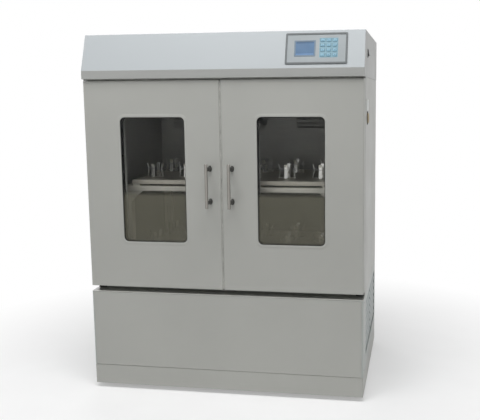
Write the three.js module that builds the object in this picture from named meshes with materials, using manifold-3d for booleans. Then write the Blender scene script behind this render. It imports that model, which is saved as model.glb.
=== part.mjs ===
// Upright shaker incubator with two glazed doors, two shaking trays and a refrigerated base.
// Millimetres, +Z up. The doors face -Y. The origin lies on the floor, under the middle of the
// cabinet's width and of its depth from the door handles to the rear cover.

import * as THREE from 'three';
import { mergeVertices } from 'three/addons/utils/BufferGeometryUtils.js';
import Module from 'manifold-3d';

const wasm = await Module();
wasm.setup();

// Overall sizes
const cabinetWidth = 1080;
const cabinetDepth = 720;
const footHeight = 18;
const baseHeight = 382;
const doorRecess = 21;
const chamberHeight = 720;
const lipGap = 6;
const sheet = 2;
const seatGap = 0.3;
const overrun = 5;

// Round forms: how many flats stand for a full circle
const fineSides = 20;
const roundSides = 12;
const smallSides = 8;
const cornerSteps = 2;
const keyCornerSteps = 1;

// Control head
const lipHeight = 31.5;
const lipProud = 8.5;
const slopeRise = 137.5;
const slopeSetback = 49.6;
const headOverhang = 1.1;
const headReveal = 3;
const upstandHeight = 12;

// Doors
const doorLowLap = 41;
const doorTopLap = 43;
const doorEdgeGap = 2.5;
const shellDepth = 50.7;
const doorLinerSheet = 2;
const doorEdgeRadius = 6;
const casingSetback = 65;
const windowStile = 140;
const windowRadius = 19;
const windowInset = 144;
const windowSill = 182;
const windowHead = 139;
const rimWidth = 13;
const rimProud = 3;
const glassOverlap = 6;
const glassThickness = 20;
const glassPane = 5;
const spacerWidth = 8;
const breatherSize = 2;
const sealLip = 2;
const sealReach = 2.5;
const sealWall = 3;
const tunnelWall = 2;
const linerMargin = 3;
const gasketInset = 22;
const gasketWidth = 12;
const gasketCentreGap = 1.5;
const gasketLipWidth = 4;
const gasketLipDepth = 4;

// Door hinges
const hingeInset = 18;
const hingeDepth = 37;
const hingePinRadius = 4;
const hingeBoreRadius = 4.6;
const hingePinLength = 20;
const hingePlate = 4;
const hingePlateWidth = 32;
const hingePlateLead = 11;
const hingeFlangeHeight = 23;
const hingeTopClear = 1;
const hingeLowClear = 2;
const washerRadius = 9;

// Door handles
const handleProud = 60;
const handleOffset = 43;
const handlePitch = 125.5;
const handleLength = 168;
const handleFootLevel = 345.5;
const handleBarRadius = 6;
const handleFootWidth = 15;
const handleFootHeight = 24;
const handleNeckWidth = 10;
const handleNeckHeight = 12;

// Control panel, key and display sizes are measured along the slope
const panelInset = 63;
const panelWidth = 227.5;
const panelFoot = 15;
const panelHeight = 120;
const panelBorder = 6.5;
const panelProud = 2.5;
const panelFace = 1.5;
const panelDepth = 12;
const panelRadius = 4;
const displayLeft = 34.5;
const displayFoot = 31;
const displayWidth = 74;
const displayHeight = 58;
const displayGlass = 2;
const keyColumns = 3;
const keyRows = 4;
const keyLeft = 129;
const keyFoot = 28;
const keyPitchX = 22.5;
const keyPitchY = 19;
const keyWidth = 15;
const keyHeight = 11;
const keyProud = 1.4;
const keyLength = 5;
const keyClearance = 0.4;
const keyTravel = 0.8;
const keyRadius = 2;

// Power switch
const switchSetback = 149;
const switchLevel = 89;
const switchWidth = 24;
const switchHeight = 32;
const switchFlange = 2;
const switchBody = 22;
const switchWall = 2;
const rockerTilt = 10;
const rockerClearance = 0.6;
const rockerDepth = 9;
const rockerProud = 3.2;
const rockerPivotDepth = 3;

// Chamber
const chamberSideWall = 65;
const chamberRearWall = 45;
const portRadius = 21;
const portWall = 4;
const portProud = 1;
const portSetback = 149;
const portDrop = 107;

// Base
const plinthHeight = 77;
const seamGap = 1.5;
const panelSeam = 0.5;
const deckThickness = 3;
const plinthReturn = 22;
const postWidth = 40;
const postSheet = 3;
const railHeight = 30;
const railWidth = 36;
const railDrop = 100;
const baseCornerWrap = 7;
const baseCornerRadius = 4;
const panelReturn = 12;
const frameGap = 1;

// Louvres
const ventSetback = 130;
const ventRearInset = 30;
const ventSill = 43;
const ventHead = 42;
const ventRecess = 6;
const ventMargin = 14;
const sideLouvreColumns = 2;
const rearLouvreColumns = 2;
const louvreRows = 6;
const louvreHeight = 14;
const louvreProud = 5;
const louvreWall = 1.2;
const louvreMargin = 30;
const glandRadius = 12;
const glandBore = 5;
const glandLength = 5;
const glandInset = 90;
const glandLevel = 60;

// Feet
const footInset = 100;
const footSetback = 70;
const footRadius = 24;
const footPad = 7;
const footNeck = 9;
const footNut = 14;
const footNutHeight = 6;

// Shaking platform
const platformFront = 110;
const platformRear = 110;
const platformSideGap = 37;
const legWidth = 32;
const lowRailRise = 30;
const lowRailHeight = 30;
const trayPitch = 317;
const highRailHeight = 20;
const trayPad = 8;
const trayPadWidth = 28;
const trayHeight = 16;
const traySheet = 2;
const trayInset = 38;
const gussetSize = 46;
const gussetSheet = 4;
const beamWidth = 84;
const beamHeight = 12;
const bearingRadius = 30;
const bearingDrop = 10;
const bearingHeight = 32;
const bearingRoof = 5;

// Flask clamps on each tray
const clampColumns = 6;
const clampRows = 2;
const clampMarginX = 50;
const clampMarginY = 135;
const clampRadius = 34;
const clampHeight = 56;
const clampWaist = 5;
const clampFlare = 6;
const clampStrip = 14;
const clampSheet = 2;
const clampWaistShare = 0.62;

// Fan blades: places along the blade's chord as shares of its width, and out as shares of the radius
const bladeTipShares = [[0.7, 0.82], [0.2, 1], [-0.55, 0.9]];
const rootShare = 0.5;

// Orbital drive
const orbitRadius = 13;
const driveSetback = 110;
const idlerSetback = 130;
const idlerInset = 138;
const shaftRadius = 14;
const shaftClearance = 0.7;
const floorClearance = 3;
const crankPinRadius = 11.2;
const crankPinClearance = 0.6;
const crankFloorGap = 4;
const crankThickness = 12;
const crankDiscRadius = 34;
const weightRadius = 66;
const weightSpread = 100;
const crankPinHeight = 42;
const housingRadius = 32;
const housingDrop = 64;
const flangeRadius = 48;
const flangeHeight = 10;
const chassisPlate = 6;
const chassisBeam = 50;
const chassisWeb = 150;
const pulleyRise = 30;
const pulleyHeight = 20;
const pulleyRadius = 90;
const motorPulleyRadius = 34;
const grooveDepth = 9;
const pulleyFlange = 4;
const beltClearance = 0.5;
const beltThickness = 7;
const beltEdgeClear = 1;
const hubRadius = 24;
const webThickness = 8;
const spokeHoles = 5;
const spokeHoleRadius = 17;
const spokeHoleCircle = 51;
const motorSpread = 240;
const motorRadius = 58;
const motorLength = 190;
const motorFlange = 8;
const motorFlangeWidth = 130;
const motorShaftRadius = 9;
const motorRibs = 8;
const motorRibDepth = 5;
const motorRibWidth = 6;
const motorBoreDepth = 40;

// Circulation fan and its duct
const ductSideGap = 45;
const ductDepth = 92;
const ductCeilingGap = 25;
const ductHeight = 172;
const ductGrilleWidth = 190;
const ductGrilleInset = 45;
const ductSlots = 6;
const ductSlotHeight = 9;
const fanRadius = 62;
const fanHubRadius = 18;
const fanBlades = 6;
const fanBladeWidth = 26;
const fanBladeSheet = 3;
const fanBladePitch = 32;
const fanClearance = 6;
const fanShaftRadius = 5;
const fanMotorRadius = 26;
const fanMotorLength = 40;
const fanMotorBar = 24;
const fanShaftReach = 14;
const guardBars = 3;
const guardWidth = 5;

// Refrigeration in the base
const compressorInset = 210;
const compressorRearGap = 200;
const compressorRadius = 78;
const compressorHeadroom = 28;
const compressorBand = 6;
const compressorBandHeight = 10;
const compressorFoot = 190;
const compressorFootSheet = 6;
const compressorGrommet = 12;
const compressorGrommetRadius = 14;
const compressorBoxWidth = 60;
const compressorBoxDepth = 34;
const compressorBoxHeight = 64;
const domeShare = 0.42;
const condenserSetback = 135;
const condenserGap = 43;
const condenserDepth = 60;
const condenserHeadroom = 26;
const condenserInset = 150;
const condenserFins = 9;
const condenserFinCut = 8;
const shroudDepth = 46;
const shroudSheet = 3;
const coolFanMargin = 21;
const coolFanClearance = 5;
const coolFanWidth = 24;
const coolFanHubRadius = 24;
const coolFanBlades = 5;
const coolMotorRadius = 30;

// Levels and planes that follow from the sizes above
const halfWidth = cabinetWidth / 2;
const frontY = (handleProud - cabinetDepth) / 2;
const rearY = frontY + cabinetDepth;
const baseFoot = footHeight;
const baseTop = baseFoot + baseHeight;
const doorFoot = baseTop + doorRecess;
const doorHeight = doorLowLap + chamberHeight + doorTopLap;
const doorTop = doorFoot + doorHeight;
const headFoot = doorTop + lipGap;
const headTop = headFoot + lipHeight + slopeRise;
const lipY = frontY - lipProud;
const casingFrontY = frontY + casingSetback;
const casingTop = headFoot - headReveal;
const linerBackY = rearY - chamberRearWall;
const chamberWidth = cabinetWidth - chamberSideWall - chamberSideWall;
const chamberFloor = doorFoot + doorLowLap;
const linerFoot = chamberFloor - sheet;
const linerTop = linerFoot + chamberHeight + sheet + sheet;
const linerHalf = chamberWidth / 2 + sheet;
const deckFoot = baseTop - deckThickness;
const railTop = baseTop - railDrop;
const platformY = frontY + platformFront;
const platformDepth = cabinetDepth - platformFront - platformRear;
const platformHalf = chamberWidth / 2 - platformSideGap;
const lowRailFoot = chamberFloor + lowRailRise;
const highRailTop = lowRailFoot + trayPitch;
const orbitY = platformY + platformDepth / 2 - orbitRadius;
const driveAxis = [0, orbitY + driveSetback];
const idlerSpread = platformHalf - idlerInset;
const idlerAxes = [[-idlerSpread, orbitY - idlerSetback], [idlerSpread, orbitY - idlerSetback]];
const crankAxes = [driveAxis, ...idlerAxes];
const motorAxis = [-motorSpread, driveAxis[1]];
const crankFoot = chamberFloor + crankFloorGap;
const housingFoot = railTop - housingDrop;
const slopeAngle = Math.atan2(slopeRise, slopeSetback);

const part = new THREE.Group();

// Solids: three.js shapes, joined and cut

function solidOf(geometry) {
  const bare = new THREE.BufferGeometry();
  bare.setAttribute('position', geometry.getAttribute('position'));
  if (geometry.index) bare.setIndex(geometry.index);
  const merged = mergeVertices(bare);
  const index = merged.index.array;
  const triangles = [];
  for (let i = 0; i < index.length; i += 3) {
    const [a, b, c] = [index[i], index[i + 1], index[i + 2]];
    if (a !== b && b !== c && c !== a) triangles.push(a, b, c);
  }
  const vertProperties = new Float32Array(merged.getAttribute('position').array);
  const triVerts = new Uint32Array(triangles);
  return new wasm.Manifold(new wasm.Mesh({ numProp: 3, vertProperties, triVerts }));
}

function join(solids) {
  return solids.reduce((all, solid) => all.add(solid));
}

function cut(body, tools) {
  return tools.reduce((rest, tool) => rest.subtract(tool), body);
}

function geometryOf(solid, side) {
  const mesh = solid.getMesh();
  const count = mesh.vertProperties.length / mesh.numProp;
  const positions = new Float32Array(count * 3);
  for (let i = 0; i < count; i += 1) {
    positions[3 * i] = mesh.vertProperties[mesh.numProp * i] * side;
    positions[3 * i + 1] = mesh.vertProperties[mesh.numProp * i + 1];
    positions[3 * i + 2] = mesh.vertProperties[mesh.numProp * i + 2];
  }
  const index = Array.from(mesh.triVerts);
  if (side < 0) {
    for (let i = 0; i < index.length; i += 3) [index[i + 1], index[i + 2]] = [index[i + 2], index[i + 1]];
  }
  const geometry = new THREE.BufferGeometry();
  geometry.setAttribute('position', new THREE.BufferAttribute(positions, 3));
  geometry.setIndex(index);
  return geometry;
}

function finish(color, roughness, metalness) {
  return new THREE.MeshStandardMaterial({ color, roughness, metalness, flatShading: true });
}

function addPiece(name, solid, material, side = 1, parent = part) {
  const mesh = new THREE.Mesh(geometryOf(solid, side), material);
  mesh.name = name;
  parent.add(mesh);
  return mesh;
}

// Finishes
const bodyPaint = () => finish(0xb9b7ad, 0.45, 0.1);
const headPaint = () => finish(0xc5cacd, 0.45, 0.1);
const ventPaint = () => finish(0x9a9c98, 0.5, 0.1);
const stainless = () => finish(0xc8c9c6, 0.35, 0.85);
const satinSteel = () => finish(0xb8bab8, 0.3, 0.9);
const darkPlastic = () => finish(0x3a3c3e, 0.6, 0);
const blackRubber = () => finish(0x1c1c1d, 0.85, 0);
const castIron = () => finish(0x55585a, 0.6, 0.6);
const aluminium = () => finish(0xa9adaf, 0.4, 0.8);
const motorPaint = () => finish(0x3f4f5c, 0.5, 0.2);
const blackPaint = () => finish(0x202122, 0.5, 0.2);
const woolQuilt = () => finish(0xd8cfa4, 0.95, 0);
const clearGlass = () => finish(0x8fa3a6, 0.08, 0);
const displayBlue = () => finish(0x6b8ab0, 0.2, 0);
const keyBlue = () => finish(0x8fb5c6, 0.55, 0);
const panelGrey = () => finish(0xbfc2c3, 0.5, 0);

// Basic forms

function block(x, y, z) {
  const geometry = new THREE.BoxGeometry(x[1] - x[0], y[1] - y[0], z[1] - z[0]);
  geometry.translate((x[0] + x[1]) / 2, (y[0] + y[1]) / 2, (z[0] + z[1]) / 2);
  return solidOf(geometry);
}

function outline(points) {
  return new THREE.Shape(points.map(([u, v]) => new THREE.Vector2(u, v)));
}

function roundedRect(u, v, radius) {
  const shape = new THREE.Shape();
  shape.moveTo(u[0] + radius, v[0]);
  shape.lineTo(u[1] - radius, v[0]);
  shape.absarc(u[1] - radius, v[0] + radius, radius, -Math.PI / 2, 0, false);
  shape.lineTo(u[1], v[1] - radius);
  shape.absarc(u[1] - radius, v[1] - radius, radius, 0, Math.PI / 2, false);
  shape.lineTo(u[0] + radius, v[1]);
  shape.absarc(u[0] + radius, v[1] - radius, radius, Math.PI / 2, Math.PI, false);
  shape.lineTo(u[0], v[0] + radius);
  shape.absarc(u[0] + radius, v[0] + radius, radius, Math.PI, Math.PI * 1.5, false);
  return shape;
}

function extrudeGeometry(shape, length, bevel = 0, steps = cornerSteps) {
  return new THREE.ExtrudeGeometry(shape, {
    depth: length,
    curveSegments: steps,
    bevelEnabled: bevel > 0,
    bevelThickness: bevel,
    bevelSize: bevel,
    bevelOffset: -bevel,
    bevelSegments: 2,
  });
}

function extrudeZ(shape, z) {
  const geometry = extrudeGeometry(shape, z[1] - z[0]);
  geometry.translate(0, 0, z[0]);
  return solidOf(geometry);
}

// The outline is drawn in X and Z
function extrudeY(shape, y, bevel = 0) {
  const geometry = extrudeGeometry(shape, y[1] - y[0] - bevel - bevel, bevel);
  geometry.rotateX(Math.PI / 2);
  geometry.translate(0, y[1] - bevel, 0);
  return solidOf(geometry);
}

// The outline is drawn in Y and Z
function extrudeX(shape, x) {
  const geometry = extrudeGeometry(shape, x[1] - x[0]);
  geometry.rotateX(Math.PI / 2);
  geometry.rotateZ(Math.PI / 2);
  geometry.translate(x[0], 0, 0);
  return solidOf(geometry);
}

function rodGeometry(radius, z, sides) {
  const geometry = new THREE.CylinderGeometry(radius, radius, z[1] - z[0], sides);
  geometry.rotateX(Math.PI / 2);
  geometry.translate(0, 0, (z[0] + z[1]) / 2);
  return geometry;
}

function rodZ(centre, radius, z, sides = roundSides) {
  const geometry = rodGeometry(radius, z, sides);
  geometry.translate(centre[0], centre[1], 0);
  return solidOf(geometry);
}

function rodY(centre, radius, y, sides = roundSides) {
  const geometry = rodGeometry(radius, y, sides);
  geometry.rotateX(-Math.PI / 2);
  geometry.translate(centre[0], 0, centre[1]);
  return solidOf(geometry);
}

function rodX(centre, radius, x, sides = roundSides) {
  const geometry = rodGeometry(radius, x, sides);
  geometry.rotateY(Math.PI / 2);
  geometry.translate(0, centre[0], centre[1]);
  return solidOf(geometry);
}

// A bore whose flats all lie outside the named radius
function boreRadius(radius, sides = roundSides) {
  return radius / Math.cos(Math.PI / sides);
}

// A profile of radius and height pairs turned about a vertical axis
function turned(centre, profile, sides = roundSides) {
  const points = profile.map(([radius, height]) => new THREE.Vector2(radius, height));
  const geometry = new THREE.LatheGeometry(points, sides);
  geometry.rotateX(Math.PI / 2);
  geometry.translate(centre[0], centre[1], 0);
  return solidOf(geometry);
}

function span(centre, width) {
  return [centre - width / 2, centre + width / 2];
}

function grown(range, amount) {
  return [range[0] - amount, range[1] + amount];
}

function evenly(count, pitch) {
  return Array.from({ length: count }, (_, i) => (i - (count - 1) / 2) * pitch);
}

// Louvres: each is a hood pressed out of the sheet over a slot that opens downwards.
// The profile is drawn as distance out of the sheet's face and height.

function hoodOutline(face, foot) {
  return outline([
    [face - sheet / 2, foot],
    [face + louvreProud, foot],
    [face, foot + louvreHeight],
    [face - sheet / 2, foot + louvreHeight],
  ]);
}

function slotOutline(face, foot) {
  const reach = face + louvreProud - louvreWall;
  const slotTop = foot + louvreHeight - louvreWall * louvreHeight / louvreProud;
  return outline([
    [face - sheet - overrun, foot],
    [face, foot],
    [face, foot - overrun],
    [reach, foot - overrun],
    [reach, foot],
    [face, slotTop],
    [face - sheet - overrun, slotTop],
  ]);
}

function withLouvres(panel, extrude, face, area, columns) {
  const width = (area.u[1] - area.u[0] - ventMargin) / columns - ventMargin;
  const pitch = (area.z[1] - area.z[0] - louvreMargin - louvreMargin) / (louvreRows - 1);
  const rows = evenly(louvreRows, pitch).map((z) => z + (area.z[0] + area.z[1]) / 2);
  const centres = evenly(columns, width + ventMargin).map((u) => u + (area.u[0] + area.u[1]) / 2);
  const hoods = [];
  const slots = [];
  for (const z of rows) {
    for (const centre of centres) {
      const foot = z - louvreHeight / 2;
      hoods.push(extrude(hoodOutline(face, foot), span(centre, width)));
      slots.push(extrude(slotOutline(face, foot), span(centre, width - louvreWall - louvreWall)));
    }
  }
  return cut(join([panel, ...hoods]), slots);
}

// Base: plinth, floor, posts, rails and deck are welded into one frame

function shaftHoles(z, clearance) {
  return crankAxes.map((axis) => rodZ(axis, boreRadius(shaftRadius + clearance), z));
}

function plinthRing() {
  const z = [baseFoot, baseFoot + plinthHeight];
  const x = [-halfWidth, halfWidth];
  const y = [frontY, rearY];
  const ring = extrudeZ(roundedRect(x, y, baseCornerRadius), z);
  const hollow = block(grown(x, -sheet), grown(y, -sheet), [z[0] + sheet, z[1] - sheet]);
  const mouth = block(grown(x, -plinthReturn), grown(y, -plinthReturn), [z[0] + sheet, z[1] + overrun]);
  return cut(ring, [hollow, mouth]);
}

const frameInset = ventRecess + sheet + frameGap;
const frameHalf = halfWidth - frameInset;

function cornerPost(sideX, sideY) {
  const x = frameHalf;
  const y = cabinetDepth / 2 - frameInset;
  const middle = (rearY + frontY) / 2;
  const points = [
    [x, y],
    [x - postWidth, y],
    [x - postWidth, y - postSheet],
    [x - postSheet, y - postSheet],
    [x - postSheet, y - postWidth],
    [x, y - postWidth],
  ].map(([u, v]) => [u * sideX, v * sideY + middle]);
  if (sideX * sideY > 0) points.reverse();
  return extrudeZ(outline(points), [baseFoot + sheet / 2, deckFoot + deckThickness / 2]);
}

function frameRail(side) {
  const x = [frameHalf - railWidth, frameHalf].map((value) => value * side).sort((a, b) => a - b);
  const y = grown([frontY, rearY], -frameInset - postSheet / 2);
  return block(x, y, [railTop - railHeight, railTop]);
}

function baseFrame() {
  const corners = [[-1, -1], [1, -1], [-1, 1], [1, 1]];
  const deck = extrudeZ(
    roundedRect([-halfWidth, halfWidth], [frontY, rearY], baseCornerRadius),
    [deckFoot, baseTop],
  );
  const posts = corners.map(([sideX, sideY]) => cornerPost(sideX, sideY));
  const frame = join([plinthRing(), ...posts, frameRail(-1), frameRail(1), deck]);
  return cut(frame, shaftHoles([deckFoot - overrun, baseTop + overrun], floorClearance));
}

const panelFootLevel = baseFoot + plinthHeight + seamGap;
const panelTopLevel = deckFoot - panelSeam;
const ventZ = [baseFoot + plinthHeight + ventSill, baseTop - ventHead];

function baseFrontPanel() {
  const x = grown([-halfWidth, halfWidth], -baseCornerWrap - panelSeam);
  const y = [frontY, frontY + panelReturn];
  const z = [panelFootLevel, panelTopLevel];
  const tray = block(x, y, z);
  const hollow = block(grown(x, -sheet), [y[0] + sheet, y[1] + overrun], grown(z, -sheet));
  const postRelief = [-1, 1].map((side) => {
    const reach = [frameHalf - postWidth - frameGap, halfWidth].map((value) => value * side);
    return block(reach.sort((a, b) => a - b), [y[0] + sheet + frameGap, y[1] + overrun], grown(z, overrun));
  });
  return cut(tray, [hollow, ...postRelief]);
}

function baseSidePanel() {
  const z = [panelFootLevel, panelTopLevel];
  const y = [frontY, rearY];
  const inner = halfWidth - sheet;
  const plan = roundedRect([inner - baseCornerWrap, halfWidth], y, baseCornerRadius);
  const wrap = halfWidth - baseCornerWrap;
  const skin = cut(extrudeZ(plan, z), [
    block([wrap - overrun - baseCornerWrap, inner], grown(y, -sheet), grown(z, overrun)),
    block([wrap - overrun - baseCornerWrap, wrap], grown(y, overrun), grown(z, overrun)),
  ]);
  const area = {
    u: [frontY + ventSetback, rearY - ventRearInset],
    z: ventZ,
  };
  const face = halfWidth - ventRecess;
  const pocket = block([face - sheet, halfWidth - sheet / 2], grown(area.u, sheet), grown(area.z, sheet));
  const mouth = block([face, halfWidth + overrun], area.u, area.z);
  return withLouvres(cut(join([skin, pocket]), [mouth]), extrudeY, face, area, sideLouvreColumns);
}

function rearCover() {
  const x = grown([-halfWidth, halfWidth], -baseCornerWrap - panelSeam);
  const z = [panelFootLevel, panelTopLevel];
  const face = rearY - ventRecess;
  const plate = block(x, [face - sheet, face], z);
  const area = { u: grown(x, -postWidth), z: ventZ };
  const centre = [x[0] + glandInset, z[0] + glandLevel - postWidth];
  const vented = withLouvres(plate, extrudeX, face, area, rearLouvreColumns);
  const gland = rodY(centre, glandRadius, [face - sheet, face + glandLength], smallSides);
  const bore = rodY(centre, glandBore, [face - overrun, face + glandLength + overrun], smallSides);
  return cut(join([vented, gland]), [bore]);
}

function foot(centre) {
  const top = footHeight - seatGap;
  const pad = turned(centre, [
    [0, 0],
    [footRadius, 0],
    [footRadius, footPad / 2],
    [footNeck, footPad],
    [footNeck, top],
    [0, top],
  ], smallSides);
  return join([pad, rodZ(centre, footNut, [top - footNutHeight, top], 6)]);
}

// Cabinet: painted casing, quilted insulation and stainless liner, one inside the other

const portCentre = [frontY + portSetback, linerTop - portDrop];

function portHole(clearance) {
  const x = [linerHalf - overrun - sheet, halfWidth + overrun];
  return rodX(portCentre, boreRadius(portRadius + clearance), x);
}

function cabinetCasing() {
  const x = [-halfWidth, halfWidth];
  const y = [casingFrontY, rearY];
  const z = [baseTop + seatGap, casingTop];
  const inset = seatGap - headOverhang + sheet;
  const upstandX = grown(x, -inset);
  const upstandY = [casingFrontY + inset, rearY - sheet - seatGap];
  const upstand = block(upstandX, upstandY, [casingTop - sheet, headFoot + upstandHeight - headReveal]);
  const well = block(grown(upstandX, -sheet), grown(upstandY, -sheet), [casingTop, headTop]);
  const collar = rodX(portCentre, portRadius + portWall, [halfWidth - sheet, halfWidth + portProud]);
  const body = join([block(x, y, z), upstand, collar]);
  const opening = grown([-linerHalf, linerHalf], seatGap);
  return cut(body, [
    well,
    block(grown(x, -sheet), grown(y, -sheet), grown(z, -sheet)),
    block(opening, [casingFrontY - overrun, casingFrontY + overrun], grown([linerFoot, linerTop], seatGap)),
    ...shaftHoles([baseTop - overrun, baseTop + overrun], floorClearance),
    portHole(portWall),
  ]);
}

function insulationJacket() {
  const x = grown([-halfWidth, halfWidth], -sheet - seatGap);
  const y = grown([casingFrontY, rearY], -sheet - seatGap);
  const z = grown([baseTop + seatGap, casingTop], -sheet - seatGap);
  const linerX = grown([-linerHalf, linerHalf], seatGap);
  const linerZ = grown([linerFoot, linerTop], seatGap);
  return cut(block(x, y, z), [
    block(linerX, [y[0] - overrun, linerBackY + seatGap], linerZ),
    ...shaftHoles([baseTop - overrun, linerFoot + overrun], floorClearance),
    portHole(portWall),
  ]);
}

function chamberLiner() {
  const x = [-linerHalf, linerHalf];
  const y = [casingFrontY, linerBackY];
  const z = [linerFoot, linerTop];
  const room = block(grown(x, -sheet), [y[0] - overrun, y[1] - sheet], grown(z, -sheet));
  return cut(block(x, y, z), [
    room,
    ...shaftHoles([linerFoot - overrun, chamberFloor + overrun], floorClearance),
    portHole(0),
  ]);
}

// Control head: a folded hood with a sloped face that carries the control panel

const headHalf = halfWidth + headOverhang;
const slopeFoot = [lipY, headFoot + lipHeight];
const slopeTop = [lipY + slopeSetback, headTop];

function headOutline(inset) {
  return outline([
    [lipY + inset, headFoot + inset],
    [rearY - inset, headFoot + inset],
    [rearY - inset, headTop - inset],
    [slopeTop[0] + inset * Math.tan(slopeAngle / 2), headTop - inset],
    [lipY + inset, slopeFoot[1] - inset * Math.tan(Math.PI / 4 - slopeAngle / 2)],
  ]);
}

function slopePlaced(solidGeometry) {
  solidGeometry.rotateX(slopeAngle);
  solidGeometry.translate(0, slopeFoot[0], slopeFoot[1]);
  return solidOf(solidGeometry);
}

// A block on the sloped face: across, up the slope, and out of it
function slopeBlock(across, up, out, radius = 0, steps = cornerSteps) {
  const shape = radius > 0 ? roundedRect(across, up, radius) : outline([
    [across[0], up[0]],
    [across[1], up[0]],
    [across[1], up[1]],
    [across[0], up[1]],
  ]);
  const geometry = extrudeGeometry(shape, out[1] - out[0], 0, steps);
  geometry.translate(0, 0, out[0]);
  return slopePlaced(geometry);
}

const panelLeft = halfWidth - panelInset - panelWidth;
const panelAcross = [panelLeft, panelLeft + panelWidth];
const panelUp = [panelFoot, panelFoot + panelHeight];
const trayAcross = grown(panelAcross, -panelBorder);
const trayUp = grown(panelUp, -panelBorder);

const switchCentre = [frontY + switchSetback, headFoot + switchLevel];

function controlHead() {
  const hood = extrudeX(headOutline(0), [-headHalf, headHalf]);
  const room = extrudeX(headOutline(sheet), [sheet - headHalf, headHalf - sheet]);
  const mouth = block(
    grown([-headHalf, headHalf], -sheet),
    [casingFrontY, rearY - sheet],
    [headFoot - overrun, headFoot + overrun],
  );
  const panelHole = slopeBlock(
    grown(trayAcross, seatGap),
    grown(trayUp, seatGap),
    [-sheet - overrun, overrun],
  );
  const switchHole = block(
    [headHalf - overrun, headHalf + overrun],
    grown(span(switchCentre[0], switchWidth - switchWall - switchWall), seatGap),
    grown(span(switchCentre[1], switchHeight - switchWall - switchWall), seatGap),
  );
  return cut(hood, [room, mouth, panelHole, switchHole]);
}

const keyPlaces = [];
for (let row = 0; row < keyRows; row += 1) {
  for (let column = 0; column < keyColumns; column += 1) {
    keyPlaces.push({
      name: `key_row${row + 1}_column${column + 1}`,
      across: span(panelLeft + keyLeft + column * keyPitchX + keyWidth / 2, keyWidth),
      up: span(panelFoot + keyFoot + (keyRows - 1 - row) * keyPitchY + keyHeight / 2, keyHeight),
    });
  }
}

const displayAcross = [panelLeft + displayLeft, panelLeft + displayLeft + displayWidth];
const displayUp = [panelFoot + displayFoot, panelFoot + displayFoot + displayHeight];

function controlPanel() {
  const flange = slopeBlock(panelAcross, panelUp, [seatGap, panelProud], panelRadius);
  const face = slopeBlock(trayAcross, trayUp, [panelFace, panelProud + overrun]);
  const tray = slopeBlock(trayAcross, trayUp, [-panelDepth, panelFace]);
  const keyPockets = keyPlaces.map((key) => slopeBlock(
    grown(key.across, keyClearance),
    grown(key.up, keyClearance),
    [panelFace - keyLength - keyTravel, panelFace + overrun],
  ));
  const displayPocket = slopeBlock(
    grown(displayAcross, seatGap),
    grown(displayUp, seatGap),
    [panelFace - displayGlass - seatGap, panelFace + overrun],
  );
  return cut(join([cut(flange, [face]), tray]), [...keyPockets, displayPocket]);
}

function displayWindow() {
  return slopeBlock(displayAcross, displayUp, [panelFace - displayGlass, panelFace]);
}

function panelKey(key) {
  const out = [panelFace + keyProud - keyLength, panelFace + keyProud];
  return slopeBlock(key.across, key.up, out, keyRadius, keyCornerSteps);
}

function switchHousing() {
  const y = span(switchCentre[0], switchWidth);
  const z = span(switchCentre[1], switchHeight);
  const flange = block([headHalf + seatGap, headHalf + seatGap + switchFlange], y, z);
  const body = block(
    [headHalf - switchBody, headHalf + seatGap + switchFlange / 2],
    grown(y, -switchWall),
    grown(z, -switchWall),
  );
  const well = block(
    [headHalf - switchBody + switchWall, headHalf + switchFlange + overrun],
    grown(y, -switchWall - switchWall),
    grown(z, -switchWall - switchWall),
  );
  return cut(join([flange, body]), [well]);
}

const rockerPivotX = headHalf + switchFlange - rockerPivotDepth;

// The rocker's outer face is dished, and its two halves meet over the pivot. Its upper half is pressed in.
function switchRocker() {
  const wall = switchWall + switchWall + rockerClearance;
  const swing = THREE.MathUtils.degToRad(rockerTilt);
  const half = (switchHeight / 2 - wall - rockerClearance) * Math.cos(swing);
  const face = headHalf + switchFlange + rockerProud - rockerPivotX;
  const dish = half * Math.sin(swing) / 2;
  const shape = outline([
    [face, half],
    [face - dish, 0],
    [face, -half],
    [-rockerDepth / 3, -half],
    [-rockerDepth, 0],
    [-rockerDepth / 3, half],
  ].map(([x, z]) => [
    rockerPivotX + x * Math.cos(swing) - z * Math.sin(swing),
    switchCentre[1] + x * Math.sin(swing) + z * Math.cos(swing),
  ]).reverse());
  const y = grown(span(switchCentre[0], switchWidth), -wall);
  return extrudeY(shape, y);
}

// Doors, drawn on the right-hand side and mirrored for the left

const doorX = [doorEdgeGap, halfWidth];
const doorZ = [doorFoot, doorTop];
const windowX = [windowStile, halfWidth - windowInset];
const windowZ = [doorFoot + windowSill, doorTop - windowHead];
const hingeAxis = [halfWidth - hingeInset, frontY + hingeDepth];
const sealFrontY = frontY + sheet + seatGap;
const glassFrontY = sealFrontY + sealLip + seatGap;
const glassBackY = glassFrontY + glassThickness;
const sealBackY = glassBackY + seatGap + sealLip;
const linerPlateY = [frontY + shellDepth + seatGap, frontY + shellDepth + seatGap + doorLinerSheet];

function windowSolid(margin, y, radius = windowRadius + margin) {
  return extrudeY(roundedRect(grown(windowX, margin), grown(windowZ, margin), radius), y);
}

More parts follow.
